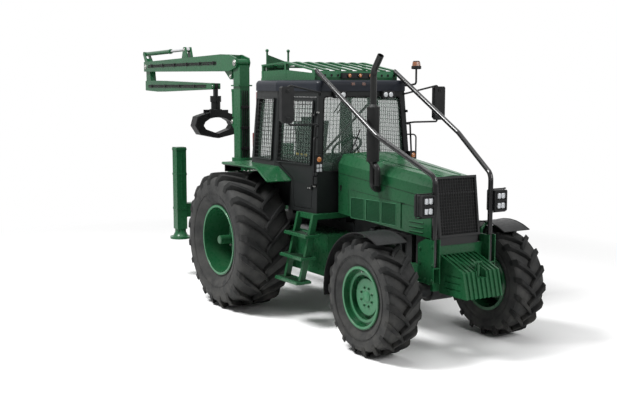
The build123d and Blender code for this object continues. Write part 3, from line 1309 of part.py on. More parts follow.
def crane_column():
    x = COLUMN_X
    drum = rod((x, 0, SLEW_Z + FACE_FIT), (x, 0, SLEW_Z + DRUM_H), DRUM_R)
    post = block(x - COLUMN_HALF_X, x + COLUMN_HALF_X, -COLUMN_HALF_Y, COLUMN_HALF_Y,
                 SLEW_Z + DRUM_H - 90, BOOM_PIN_Z - 40)
    collar_z = BOOM_PIN_Z - COLLAR_DROP
    collar = block(x - COLUMN_HALF_X - 25, x + COLUMN_HALF_X + 25, -COLUMN_HALF_Y - 30, COLUMN_HALF_Y + 30,
                   collar_z, collar_z + 20)
    tube = pin_y(x, BOOM_PIN_Z, -PIVOT_HALF, PIVOT_HALF, PIVOT_R)
    bore = pin_y(x, BOOM_PIN_Z, -PIVOT_HALF - 5, PIVOT_HALF + 5, PIVOT_PIN_R + PIN_FIT)
    bx, bz = LIFT_BASE
    ear = side_plate(
        [(x - COLUMN_HALF_X, bz + 90), (bx - 40, bz + 20), (bx - 40, bz - 30), (x - COLUMN_HALF_X, bz - 150)], 36, 56)
    pin = pin_y(bx, bz, -56, 56, LIFT_PIN_R)
    save("crane_column", drum + post + collar + tube - bore + both(ear) + pin)


def cylinder_barrel(base, tip, share, radius, eye_r, bore_r, eye_half):
    """Barrel of a cylinder from its eye towards the far pin."""
    start = Vector(base[0], 0, base[1])
    way = Vector(tip[0], 0, tip[1]) - start
    unit = way.normalized()
    eye = pin_y(base[0], base[1], -eye_half, eye_half, eye_r) - pin_y(
        base[0], base[1], -eye_half - 5, eye_half + 5, bore_r
    )
    neck_from = start + unit * (eye_r - 6)
    body_from = start + unit * (eye_r + 25)
    body_to = start + way * share
    gland = rod(body_to - unit * 40, body_to, radius + 5)
    return eye + rod(neck_from, body_from + unit, eye_half * 0.9) + rod(body_from, body_to, radius) + gland


def cylinder_rod(base, tip, start_share, radius, eye_r, eye_half):
    """Rod of a cylinder, from inside its barrel to its eye at the far pin."""
    start = Vector(base[0], 0, base[1])
    way = Vector(tip[0], 0, tip[1]) - start
    unit = way.normalized()
    inside = start + way * start_share
    end = start + unit * (way.length - eye_r + 5)
    eye = pin_y(tip[0], tip[1], -eye_half, eye_half, eye_r) - pin_y(
        tip[0], tip[1], -eye_half - 5, eye_half + 5, eye_r * 0.5
    )
    return rod(inside, end, radius) + eye


def bored(barrel, base, tip, start_share, radius):
    """Cut the rod's bore into a barrel."""
    start = Vector(base[0], 0, base[1])
    way = Vector(tip[0], 0, tip[1]) - start
    return barrel - rod(start + way * start_share, start + way, radius + PIN_FIT)


def lift_cylinder():
    barrel = cylinder_barrel(LIFT_BASE, LIFT_LUG, LIFT_SHARE, LIFT_R, 46, LIFT_PIN_R + PIN_FIT, 30)
    save("lift_cylinder_barrel", bored(barrel, LIFT_BASE, LIFT_LUG, LIFT_BORE_SHARE, LIFT_ROD_R))
    save("lift_cylinder_rod", cylinder_rod(LIFT_BASE, LIFT_LUG, LIFT_ROD_SHARE, LIFT_ROD_R, 40, 30))


def boom():
    """Tapered main arm: cheeks at the column, lugs for the lift cylinder, a fork at its tip."""
    x, z = COLUMN_X, BOOM_PIN_Z
    root = BOOM_ROOT_DEPTH / 2
    tip = BOOM_TIP_DEPTH / 2
    outline = [
        (x - 190, z - root + 15), (x - 190, z + root), (x - 500, z + root + 18),
        (ELBOW_X - 85, z + tip), (ELBOW_X - 85, z - tip), (x - 500, z - root),
    ]
    beam = side_plate(outline, -BOOM_HALF, BOOM_HALF)
    slot = block(ELBOW_X - 200, ELBOW_X + FORK_LENGTH, -FORK_HALF, FORK_HALF, z - 12, z + 400)
    mouth = block(ELBOW_X - 200, ELBOW_X + 430, -FORK_HALF, FORK_HALF, z - 400, z + 400)
    cheek = side_plate(
        [(x - 600, z - root + 10), (x - 600, z + root - 10), (x - 180, z + root + 5), (x + 40, z + 68),
         (x + 70, z), (x + 40, z - 68), (x - 180, z - root)],
        BOOM_HALF, BOOM_HALF + CHEEK_T, 12,
    )
    lx, lz = LIFT_LUG
    lug = side_plate(
        [(lx - 230, z - root + 20), (lx + 40, z - root + 32), (lx + 48, lz - 20), (lx + 20, lz - 45),
         (lx - 20, lz - 45)],
        38, 62,
    )
    ear = side_plate(
        [(EAR_X - 110, z + 100), (EAR_X + 110, z + 100), (EAR_X + 40, EAR_Z + 40), (EAR_X - 40, EAR_Z + 40)],
        36, 56,
    )
    pin = pin_y(x, z, -BOOM_HALF - CHEEK_T, BOOM_HALF + CHEEK_T, PIVOT_PIN_R)
    elbow_bore = pin_y(ELBOW_X, ELBOW_Z, -BOOM_HALF - 5, BOOM_HALF + 5, ELBOW_PIN_R + PIN_FIT)
    save("boom", beam - slot - mouth + both(cheek) + both(lug) + both(ear) + pin - elbow_bore)


def stick():
    """Folded arm: a root between the boom's fork plates, a lever above it and a beam underneath."""
    top = ELBOW_Z - STICK_DROP + STICK_DEPTH / 2
    low = top - STICK_DEPTH
    tip_x = HANG_X + 20
    beam = side_plate(
        [(ELBOW_X - 60, low + 20), (ELBOW_X - 60, top), (ELBOW_X + 500, top), (tip_x, top - 50),
         (tip_x, low + 50), (ELBOW_X + 500, low)],
        -STICK_HALF, STICK_HALF, 15,
    )
    lx, lz = LEVER
    root = side_plate(
        [(ELBOW_X - 70, top - 10), (ELBOW_X - 75, ELBOW_Z), (lx - 36, lz - 15), (lx, lz + 36),
         (lx + 36, lz + 8), (ELBOW_X + 75, ELBOW_Z + 20), (ELBOW_X + 130, top - 10)],
        -ROOT_HALF, ROOT_HALF,
    )
    root += pin_y(lx, lz, -ROOT_HALF, ROOT_HALF, LEVER_HEAD_R)
    root -= Pos(lx, 0, lz) * Cylinder(150, 80, rotation=(90, 0, 0))
    pin = pin_y(ELBOW_X, ELBOW_Z, -BOOM_HALF, BOOM_HALF, ELBOW_PIN_R)
    lever_pin = pin_y(lx, lz, -ROOT_HALF, ROOT_HALF, LEVER_PIN_R)
    hx, hz = HANG_X, STICK_TIP_Z
    lug_in = LINK_HALF + 6
    lug = side_plate(
        [(hx - 120, hz - 45), (hx + 30, hz - 45), (hx + 45, hz), (hx + 30, hz + 45), (hx - 120, hz + 45)],
        lug_in, lug_in + 20,
    )
    beam -= block(hx - 75, hx + 100, -lug_in, lug_in, low - 50, top + 50)
    hang_pin = pin_y(hx, hz, -lug_in - 20, lug_in + 20, HANG_PIN_R)
    save("stick", beam + root + pin + lever_pin + both(lug) + hang_pin)


def stick_cylinder():
    eye = (EAR_X, EAR_Z)
    barrel = cylinder_barrel(LEVER, eye, STICK_SHARE, STICK_CYL_R, 38, LEVER_PIN_R + PIN_FIT, 35)
    save("stick_cylinder_barrel", bored(barrel, LEVER, eye, STICK_BORE_SHARE, STICK_ROD_R))
    save("stick_cylinder_rod", cylinder_rod(LEVER, eye, STICK_ROD_SHARE, STICK_ROD_R, 36, 28))


def grapple():
    """Hanging link with its rotator, the grapple's frame and two broad jaws."""
    x = HANG_X
    eye = pin_y(x, STICK_TIP_Z, -LINK_HALF, LINK_HALF, 44)
    eye -= pin_y(x, STICK_TIP_Z, -LINK_HALF - 12, LINK_HALF + 12, HANG_PIN_R + PIN_FIT)
    link = eye + block(x - 30, x + 30, -LINK_HALF, LINK_HALF, ROTATOR_TOP, STICK_TIP_Z - 38)
    link += rod((x, 0, ROTATOR_TOP - ROTATOR_H), (x, 0, ROTATOR_TOP + 2), ROTATOR_R)
    save("hang_link", link)
    spin = rod((x, 0, GRAB_TOP), (x, 0, ROTATOR_TOP - ROTATOR_H - FACE_FIT), SPIN_R)
    head = block(x - GRAB_HALF, x + GRAB_HALF, -45, 45, JAW_Z + 40, GRAB_TOP)
    for side in (1, -1):
        mid = x + side * (GRAB_HALF - 17.5)
        head += block(mid - 17.5, mid + 17.5, -150, 150, JAW_Z - 45, GRAB_TOP - 10)
    pins = both(rod((x - GRAB_HALF, JAW_Y, JAW_Z), (x + GRAB_HALF, JAW_Y, JAW_Z), JAW_PIN_R))
    save("grapple_frame", spin + head + pins)
    reach = JAW_REACH
    outline = [
        (JAW_Y - 45, JAW_Z + 28), (JAW_Y + 60, JAW_Z + 28), (reach - 40, JAW_Z - 30), (reach, JAW_Z - 170),
        (reach - 90, GRAB_LOW + 60), (6, GRAB_LOW), (6, GRAB_LOW + 70), (reach - 185, GRAB_LOW + 140),
        (reach - 145, JAW_Z - 170), (reach - 175, JAW_Z - 110), (JAW_Y + 40, JAW_Z - 60), (JAW_Y - 45, JAW_Z - 45),
    ]
    jaw = cross_plate(outline, x - JAW_W / 2, x + JAW_W / 2)
    jaw -= rod((x - GRAB_HALF - 10, JAW_Y, JAW_Z), (x + GRAB_HALF + 10, JAW_Y, JAW_Z), JAW_PIN_R + PIN_FIT)
    save_pair("grapple_jaw", jaw)


os.makedirs("parts", exist_ok=True)
front_wheels()
rear_wheels()
front_axle()
knuckle()
mudguard()
backbone()
front_frame()
limb_risers()
ballast_weight()
hood()
grille()
exhaust()
cab()
fenders()
seat_and_controls()
roof_guard()
lamps()
mirrors()
ladders()
crane_base()
stabilizer_frame()
stabilizer_legs()
crane_column()
lift_cylinder()
boom()
stick()
stick_cylinder()
grapple()
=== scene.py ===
from math import atan2, cos, pi, radians, sin, sqrt

import bmesh
import bpy
from mathutils import Matrix, Vector


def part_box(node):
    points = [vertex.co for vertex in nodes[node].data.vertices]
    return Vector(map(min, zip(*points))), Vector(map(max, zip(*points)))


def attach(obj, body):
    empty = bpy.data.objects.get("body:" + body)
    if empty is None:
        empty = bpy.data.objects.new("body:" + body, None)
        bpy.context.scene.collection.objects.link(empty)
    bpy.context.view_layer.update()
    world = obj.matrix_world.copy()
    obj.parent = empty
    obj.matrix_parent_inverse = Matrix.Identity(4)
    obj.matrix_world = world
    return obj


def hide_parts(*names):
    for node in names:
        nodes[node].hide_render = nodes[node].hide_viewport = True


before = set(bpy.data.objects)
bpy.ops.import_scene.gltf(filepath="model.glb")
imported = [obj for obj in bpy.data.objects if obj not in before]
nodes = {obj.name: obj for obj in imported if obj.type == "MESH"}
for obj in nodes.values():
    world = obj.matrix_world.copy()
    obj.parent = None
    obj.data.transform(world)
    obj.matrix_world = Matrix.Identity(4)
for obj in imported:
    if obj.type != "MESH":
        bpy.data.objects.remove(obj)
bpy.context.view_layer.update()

# Shared places, in millimetres from the rear axle, as the model is measured
AXLE_X = sum(c.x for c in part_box("rear_tyre_left")) / 2
SIDES = (("left", 1), ("right", -1))
UP = Vector((0, 0, 1))
HOOD_REAR, HOOD_LEN = 1460.0, 1540.0
HOOD_HALF, HOOD_NARROWS = 430.0, 145.0
HOOD_TOP, HOOD_FALLS = 2000.0, 155.0
HOOD_OUT = (0.0937, 0.9956)
LID_SEAM = 231.5
FRONT_AXLE_X, FRONT_AXLE_Z = 2760.0, 610.0
STACK_X, STACK_Y = 2175, -448
SIDE_PIPE_X = 2262
BEACON_X, BEACON_Y = 1390, 730
COLUMN_X, SLEW_Z = -1820, 1530
LEG_X, LEG_Y = -2050, 900
BOOM_Z, STICK_Z = 3100, 2760
ELBOW_X, HANG_X = -5350, -2700


def at(x, y, z):
    return Vector((AXLE_X + x / 1000, y / 1000, z / 1000))


# Materials

def shader(name):
    mat = bpy.data.materials.new(name)
    mat.use_nodes = True
    tree = mat.node_tree
    return mat, tree, tree.nodes["Principled BSDF"]


def add(tree, kind, **values):
    node = tree.nodes.new(kind)
    for key, value in values.items():
        setattr(node, key, value)
    return node


def put(node, values):
    """Set a node's inputs by name."""
    for key, value in values.items():
        node.inputs[key].default_value = value


def noise(tree, scale, detail=4.0):
    coord = add(tree, "ShaderNodeTexCoord")
    tex = add(tree, "ShaderNodeTexNoise")
    put(tex, {"Scale": scale, "Detail": detail})
    tree.links.new(coord.outputs["Object"], tex.inputs["Vector"])
    return tex.outputs["Fac"]


def ramp(tree, source, low, high, a, b):
    node = add(tree, "ShaderNodeValToRGB")
    for stop, place, color in zip(node.color_ramp.elements, (low, high), (a, b)):
        stop.position = place
        stop.color = (*color, 1)
    tree.links.new(source, node.inputs["Fac"])
    return node.outputs["Color"]


def level(tree, source, low, high, a, b):
    node = add(tree, "ShaderNodeMapRange")
    put(node, {"From Min": low, "From Max": high, "To Min": a, "To Max": b})
    tree.links.new(source, node.inputs["Value"])
    return node.outputs["Result"]


def bump(tree, bsdf, source, strength, distance):
    node = add(tree, "ShaderNodeBump")
    put(node, {"Strength": strength, "Distance": distance})
    tree.links.new(source, node.inputs["Height"])
    tree.links.new(node.outputs["Normal"], bsdf.inputs["Normal"])


def dusty(tree, base, dust, top, amount):
    """Base colour that carries a little dust low down and in patches."""
    geo = add(tree, "ShaderNodeNewGeometry")
    split = add(tree, "ShaderNodeSeparateXYZ")
    tree.links.new(geo.outputs["Position"], split.inputs["Vector"])
    height = level(tree, split.outputs["Z"], 0.0, top, amount, 0.0)
    patch = level(tree, noise(tree, 7.0, 6.0), 0.42, 0.68, 0.0, 1.0)
    times = add(tree, "ShaderNodeMath", operation="MULTIPLY")
    tree.links.new(height, times.inputs[0])
    tree.links.new(patch, times.inputs[1])
    mix = add(tree, "ShaderNodeMix", data_type="RGBA")
    tree.links.new(times.outputs["Value"], mix.inputs["Factor"])
    tree.links.new(base, mix.inputs["A"])
    mix.inputs["B"].default_value = (*dust, 1)
    return mix.outputs["Result"]


def paint(name, color, rough, coat, shade=0.86, dust=0.10, shine=0.14):
    mat, tree, bsdf = shader(name)
    dark = tuple(c * shade for c in color)
    base = ramp(tree, noise(tree, 2.3, 5.0), 0.35, 0.68, dark, color)
    base = dusty(tree, base, (0.16, 0.15, 0.125), 1.5, dust)
    tree.links.new(base, bsdf.inputs["Base Color"])
    rub = level(tree, noise(tree, 21.0, 6.0), 0.3, 0.7, rough - 0.05, rough + 0.08)
    tree.links.new(rub, bsdf.inputs["Roughness"])
    put(bsdf, {"Specular IOR Level": shine, "Coat Weight": coat, "Coat Roughness": 0.12})
    bump(tree, bsdf, noise(tree, 34.0, 2.0), 0.012, 0.001)
    return mat


def metal(name, color, rough, grain=90.0):
    mat, tree, bsdf = shader(name)
    dark = tuple(c * 0.72 for c in color)
    tree.links.new(ramp(tree, noise(tree, 9.0, 8.0), 0.3, 0.7, dark, color), bsdf.inputs["Base Color"])
    rub = level(tree, noise(tree, grain, 3.0), 0.3, 0.7, rough - 0.06, rough + 0.1)
    tree.links.new(rub, bsdf.inputs["Roughness"])
    put(bsdf, {"Metallic": 1.0})
    bump(tree, bsdf, noise(tree, grain, 3.0), 0.05, 0.0008)
    return mat


def plastic(name, color, rough, grain=420.0, depth=0.18):
    mat, tree, bsdf = shader(name)
    lift = tuple(min(1.0, c * 1.5 + 0.004) for c in color)
    tree.links.new(ramp(tree, noise(tree, 5.0, 7.0), 0.36, 0.72, color, lift), bsdf.inputs["Base Color"])
    tree.links.new(level(tree, noise(tree, 33.0, 4.0), 0.3, 0.7, rough - 0.07, rough + 0.1), bsdf.inputs["Roughness"])
    put(bsdf, {"Specular IOR Level": 0.16})
    bump(tree, bsdf, noise(tree, grain, 2.0), depth, 0.0006)
    return mat


def rubber(name, color, worn):
    mat, tree, bsdf = shader(name)
    base = ramp(tree, noise(tree, 6.0, 9.0), 0.38, 0.74, color, worn)
    base = dusty(tree, base, (0.11, 0.105, 0.095), 0.9, 0.35)
    tree.links.new(base, bsdf.inputs["Base Color"])
    tree.links.new(level(tree, noise(tree, 26.0, 5.0), 0.3, 0.7, 0.58, 0.82), bsdf.inputs["Roughness"])
    put(bsdf, {"Specular IOR Level": 0.14})
    bump(tree, bsdf, noise(tree, 230.0, 6.0), 0.25, 0.0012)
    return mat


def clear(name, color, rough, alpha):
    mat, tree, bsdf = shader(name)
    put(bsdf, {"Base Color": (*color, 1), "Alpha": alpha, "Coat Weight": 0.6})
    tree.links.new(level(tree, noise(tree, 14.0, 4.0), 0.3, 0.7, rough, rough + 0.04), bsdf.inputs["Roughness"])
    return mat


def lens(name, color, glow):
    """Moulded lamp lens with fine upright flutes."""
    mat, tree, bsdf = shader(name)
    coord = add(tree, "ShaderNodeTexCoord")
    wave = add(tree, "ShaderNodeTexWave", bands_direction="Y")
    put(wave, {"Scale": 36.0})
    tree.links.new(coord.outputs["Object"], wave.inputs["Vector"])
    dark = tuple(c * 0.6 for c in color)
    tree.links.new(ramp(tree, wave.outputs["Fac"], 0.1, 0.9, dark, color), bsdf.inputs["Base Color"])
    put(bsdf, {"Roughness": 0.14, "Coat Weight": 0.8, "Emission Color": (*color, 1), "Emission Strength": glow})
    bump(tree, bsdf, wave.outputs["Fac"], 0.5, 0.002)
    return mat


def weave(name, color):
    mat, tree, bsdf = shader(name)
    coord = add(tree, "ShaderNodeTexCoord")
    both = add(tree, "ShaderNodeMath", operation="MULTIPLY")
    for slot, way in enumerate("XZ"):
        wave = add(tree, "ShaderNodeTexWave", bands_direction=way)
        put(wave, {"Scale": 120.0})
        tree.links.new(coord.outputs["Object"], wave.inputs["Vector"])
        tree.links.new(wave.outputs["Fac"], both.inputs[slot])
    dark = tuple(c * 0.55 for c in color)
    tree.links.new(ramp(tree, both.outputs["Value"], 0.1, 0.8, dark, color), bsdf.inputs["Base Color"])
    put(bsdf, {"Roughness": 0.9, "Sheen Weight": 0.35})
    bump(tree, bsdf, both.outputs["Value"], 0.4, 0.001)
    return mat


GREEN = paint("green_enamel", (0.0125, 0.083, 0.032), 0.28, 0.16)
PALE_GREEN = paint("green_enamel_pale", (0.050, 0.185, 0.092), 0.34, 0.12)
# Dark green for the backs of the hood window pockets: painted shade in the recesses behind the mesh
MESH_PAINTED_SHADE = paint("green_painted_shade", (0.008, 0.040, 0.018), 0.6, 0.0)
MESH_GREEN = paint("green_enamel_mesh", (0.020, 0.110, 0.047), 0.5, 0.1)
DARK = paint("cab_enamel", (0.0105, 0.0122, 0.0122), 0.34, 0.10, shade=0.8)
ROOF = paint("roof_enamel", (0.0115, 0.014, 0.020), 0.38, 0.08, shade=0.8)
# Black enamel for black parts, also used as painted shade in the louvre slots, tread slots, guard strip holes and the
# exhaust's open end
BLACK_AND_SHADE = paint("black_enamel_and_painted_shade", (0.0065, 0.0068, 0.007), 0.40, 0.08, shade=0.75)
GRILLE = paint("grille_enamel", (0.024, 0.0245, 0.025), 0.36, 0.12, shade=0.8)
EXHAUST = paint("exhaust_enamel", (0.0125, 0.013, 0.0128), 0.32, 0.2, shade=0.7)
IRON = paint("casting_enamel", (0.018, 0.020, 0.021), 0.55, 0.05, shade=0.7, dust=0.25)
PLASTIC = plastic("moulded_plastic", (0.0105, 0.0108, 0.0112), 0.40)
# Black rubber for window rubbers, lips and hoses, also used as painted shade along the hood seams and in the screen
# behind the grille
TRIM_AND_SHADE = plastic("window_rubber", (0.004, 0.004, 0.0042), 0.6, 300.0)
BAR = paint("bar_enamel", (0.006, 0.006, 0.0065), 0.16, 0.28, shine=0.3)
BOLT = metal("zinc_bolt", (0.46, 0.46, 0.44), 0.36, 140.0)
CHROME = metal("ground_chrome", (0.78, 0.78, 0.80), 0.10, 300.0)
SIDEWALL = rubber("tyre_sidewall", (0.026, 0.0265, 0.0265), (0.050, 0.050, 0.048))
TREAD = rubber("tyre_tread", (0.009, 0.0095, 0.0095), (0.022, 0.022, 0.0215))
GLASS = clear("window_glass", (0.10, 0.17, 0.13), 0.03, 0.22)
MIRROR = metal("mirror_glass", (0.82, 0.84, 0.85), 0.03, 20.0)
WHITE_LENS = lens("lamp_white", (0.62, 0.64, 0.66), 0.06)
AMBER_LENS = lens("lamp_amber", (0.48, 0.15, 0.015), 0.05)
BEACON = lens("beacon_amber", (0.22, 0.062, 0.010), 0.02)
REFLECTOR = lens("reflector_amber", (0.11, 0.030, 0.012), 0.0)
RED_LENS = lens("lamp_red", (0.20, 0.012, 0.012), 0.03)
FABRIC = weave("seat_weave", (0.040, 0.041, 0.044))
YELLOW = plastic("yellow_knob", (0.62, 0.40, 0.02), 0.35)


# Mesh helpers

def piece(name, bm, mat, body, smooth=False):
    mesh = bpy.data.meshes.new(name)
    bmesh.ops.remove_doubles(bm, verts=bm.verts, dist=1e-5)
    bmesh.ops.dissolve_degenerate(bm, edges=bm.edges, dist=1e-6)
    bmesh.ops.recalc_face_normals(bm, faces=bm.faces)
    bm.to_mesh(mesh)
    bm.free()
    mesh.materials.append(mat)
    if smooth:
        mesh.shade_smooth()
        mesh.set_sharp_from_angle(angle=radians(38))
    obj = bpy.data.objects.new(name, mesh)
    bpy.context.scene.collection.objects.link(obj)
    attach(obj, body)
    return obj


def finish(name, bm, mat, body, smooth=False):
    """A new piece with the given material."""
    obj = piece(name, bm, mat, body, smooth)


def add_box(bm, lo, hi, bevel=0.0):
    """A box with rounded edges, between two corners."""
    size = hi - lo
    geom = bmesh.ops.create_cube(bm, size=1.0)
    verts = geom["verts"]
    bmesh.ops.scale(bm, vec=size, verts=verts)
    bmesh.ops.translate(bm, vec=(lo + hi) / 2, verts=verts)
    if bevel:
        edges = {e for v in verts for e in v.link_edges}
        bmesh.ops.bevel(bm, geom=list(edges), offset=bevel, segments=2, affect="EDGES", profile=0.6)


def box_mm(bm, x0, x1, y0, y1, z0, z1, bevel=3.0):
    lo = at(min(x0, x1), min(y0, y1), min(z0, z1))
    hi = at(max(x0, x1), max(y0, y1), max(z0, z1))
    add_box(bm, lo, hi, bevel / 1000)


def add_rod(bm, a, b, radius, sides=12):
    """A round bar with a small chamfer at its ends."""
    way = b - a
    length = way.length
    turn = way.to_track_quat("Z", "Y").to_matrix()
    cut = min(radius * 0.18, length * 0.2)
    rings = [(0.0, radius - cut), (cut, radius), (length - cut, radius), (length, radius - cut)]
    loops = []
    for dist, r in rings:
        loops.append([
            bm.verts.new(a + turn @ Vector((r * cos(2 * pi * i / sides), r * sin(2 * pi * i / sides), dist)))
            for i in range(sides)
        ])
    for low, high in zip(loops, loops[1:]):
        for i in range(sides):
            bm.faces.new((low[i], low[(i + 1) % sides], high[(i + 1) % sides], high[i]))
    bm.faces.new(loops[0][::-1])
    bm.faces.new(loops[-1])


def add_tube(bm, points, radius, sides=10, bend=0.03, steps=5):
    """A bent bar: straight runs with rounded corners."""
    path = [points[0]]
    for before, here, after in zip(points, points[1:], points[2:]):
        back = before - here
        ahead = after - here
        cut = min(bend, back.length * 0.45, ahead.length * 0.45)
        p0 = here + back.normalized() * cut
        p1 = here + ahead.normalized() * cut
        for i in range(steps + 1):
            t = i / steps
            path.append(p0 * (1 - t) ** 2 + here * 2 * t * (1 - t) + p1 * t * t)
    path.append(points[-1])
    loops = []
    side = None
    for i, p in enumerate(path):
        way = (path[min(i + 1, len(path) - 1)] - path[max(i - 1, 0)]).normalized()
        if side is None:
            side = way.orthogonal().normalized()
        side = (side - way * side.dot(way)).normalized()
        other = way.cross(side)
        loops.append([
            bm.verts.new(p + (side * cos(2 * pi * k / sides) + other * sin(2 * pi * k / sides)) * radius)
            for k in range(sides)
        ])
    for low, high in zip(loops, loops[1:]):
        for k in range(sides):
            bm.faces.new((low[k], low[(k + 1) % sides], high[(k + 1) % sides], high[k]))
    bm.faces.new(loops[0][::-1])
    bm.faces.new(loops[-1])


def add_bolt(bm, p, normal, radius, height):
    """A hexagon head on a washer."""
    add_rod(bm, p, p + normal * (height * 0.3), radius * 1.45, 14)
    add_rod(bm, p + normal * (height * 0.25), p + normal * height, radius, 6)


def add_wire(bm, a, b, half, normal):
    """A thin square wire."""
    way = (b - a).normalized()
    side = way.cross(normal).normalized() * half
    up = normal.normalized() * half
    ring = [side + up, up - side, -side - up, side - up]
    low = [bm.verts.new(a + r) for r in ring]
    high = [bm.verts.new(b + r) for r in ring]
    for i in range(4):
        bm.faces.new((low[i], low[(i + 1) % 4], high[(i + 1) % 4], high[i]))
    bm.faces.new(low[::-1])
    bm.faces.new(high)


def add_lathe(bm, centre, profile, segments, axis="Y"):
    """A turned piece from (radius, along) points, in metres."""
    loops = []
    for r, t in profile:
        loop = []
        for i in range(segments):
            a = 2 * pi * i / segments
            if axis == "Y":
                loop.append(bm.verts.new(centre + Vector((r * cos(a), t, r * sin(a)))))
            elif axis == "X":
                loop.append(bm.verts.new(centre + Vector((t, r * cos(a), r * sin(a)))))
            else:
                loop.append(bm.verts.new(centre + Vector((r * cos(a), r * sin(a), t))))
        loops.append(loop)
    for low, high in zip(loops, loops[1:]):
        for i in range(segments):
            bm.faces.new((low[i], low[(i + 1) % segments], high[(i + 1) % segments], high[i]))


# Leaning cab walls: u along the wall, v up it, n outward

CAB_FLOOR = 1300.0
TAPER = radians(3.6)
DOOR_WALL = (1400.0, 690.0, 520.0, 795.0)
REAR_SIDE_WALL = (520.0, 795.0, -150.0, 765.0)
FRONT_WALL = (1400.0, -690.0, 1400.0, 690.0)
BACK_WALL = (-150.0, 765.0, -150.0, -765.0)


def wall_frame(wall):
    x0, y0, x1, y1 = wall
    along = Vector((x1 - x0, y1 - y0, 0)).normalized()
    out = Vector((along.y, -along.x, 0)) * cos(TAPER) + Vector((0, 0, sin(TAPER)))
    up = out.cross(along)
    return Vector((x0, y0, CAB_FLOOR)), along, up, out


def on_wall(wall, u, v, n=0.0, side=1):
    origin, along, up, out = wall_frame(wall)
    p = origin + along * u + up * v + out * n
    return at(p.x, p.y * side, p.z)


def wall_normal(wall, side=1):
    out = wall_frame(wall)[3]
    return Vector((out.x, out.y * side, out.z))


# Tyres: a rounded carcass with raised bars that sweep forward to the middle

def tyre(name, node, body, hand, rim_r, rim_w, lugs, lug_w, bar_w, bar_h, sweep, reach):
    lo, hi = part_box(node)
    centre = (lo + hi) / 2
    radius = (hi.z - lo.z) / 2
    half = (hi.y - lo.y) / 2
    crown = radius - bar_h
    seat = rim_r - 0.006
    seat_half = rim_w / 2 - 0.016
    swell = [
        (seat, seat_half), (rim_r + 0.018, seat_half + 0.002), (rim_r + (radius - rim_r) * 0.22, half * 0.93),
        (rim_r + (radius - rim_r) * 0.45, half * 0.995), (rim_r + (radius - rim_r) * 0.62, half * 0.985),
        (rim_r + (radius - rim_r) * 0.76, half * 0.955), (crown - 0.022, half * 0.90), (crown - 0.004, half * 0.80),
        (crown, half * 0.62), (crown + 0.002, half * 0.3), (crown + 0.003, 0.0),
    ]
    profile = swell + [(r, -y) for r, y in reversed(swell[:-1])]
    bm = bmesh.new()
    add_lathe(bm, centre, profile, 96)
    for turn in (0.60, 0.68):
        r = rim_r + (radius - rim_r) * turn * 0.6
        y = half * 0.965
        for s in (1, -1):
            add_lathe(bm, centre, [
                (r - 0.004, s * (y - 0.012)), (r - 0.002, s * (y + 0.007)), (r + 0.002, s * (y + 0.007)),
                (r + 0.004, s * (y - 0.012)),
            ], 96)
    carcass = piece(name + "_carcass", bm, SIDEWALL, body, smooth=True)
    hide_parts(node)
    bm = bmesh.new()
    steps = 9
    corner = radius / cos(pi / (2 * lugs))
    span = corner * sin(sweep / 2) + 0.6 * lug_w
    first = pi + pi / (2 * lugs) + atan2(span, sqrt(corner * corner - span * span)) + sweep / 2
    for s in (1, -1):
        for i in range(lugs):
            start = first + 2 * pi * (i - (0.0 if s * hand > 0 else 0.5)) / lugs
            rows = []
            for k in range(steps + 1):
                t = k / steps
                across = -0.035 + t * (half * 0.985 + 0.035)
                lag = sweep * (t ** 0.82)
                width = bar_w * (0.80 + 0.42 * t)
                top = radius - 0.004 * t * t
                base = crown - 0.014
                if t > 0.86:
                    fall = (t - 0.86) / 0.14
                    top -= fall * fall * reach
                    base -= fall * (reach + 0.02)
                lead = start - lag
                slope = sweep * radius / half
                skew = width * sqrt(1 + slope * slope * 0.55)
                row = []
                for edge, r in ((-0.60, base), (-0.40, top), (0.40, top), (0.60, base)):
                    a = lead + edge * skew / radius
                    row.append(bm.verts.new(centre + Vector((r * sin(a), s * across, r * cos(a)))))
                rows.append(row)
            for low, high in zip(rows, rows[1:]):
                for k in range(3):
                    bm.faces.new((low[k], low[k + 1], high[k + 1], high[k]))
            bm.faces.new(rows[0][::-1])
            bm.faces.new(rows[-1])
    bars = piece(name + "_bars", bm, TREAD, body)
    mod = bars.modifiers.new("round", "BEVEL")
    mod.width = 0.007
    mod.segments = 2
    mod.limit_method = "ANGLE"
    mod.angle_limit = radians(35)


for side, s in SIDES:
    tyre(f"rear_tyre_{side}_skin", f"rear_tyre_{side}", f"rear_wheel_{side}", s,
         rim_r=0.442, rim_w=0.560, lugs=20, lug_w=0.072, bar_w=0.062, bar_h=0.058, sweep=0.40, reach=0.075)
    tyre(f"front_tyre_{side}_skin", f"front_tyre_{side}", f"front_wheel_{side}", s,
         rim_r=0.329, rim_w=0.340, lugs=18, lug_w=0.058, bar_w=0.050, bar_h=0.050, sweep=0.36, reach=0.060)

# Wheel nuts and hub caps
REAR_WHEEL_Y = 1.0


def rear_hub(side, s):
    lo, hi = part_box(f"rear_rim_{side}")
    return Vector(((lo.x + hi.x) / 2, s * REAR_WHEEL_Y, (lo.z + hi.z) / 2))


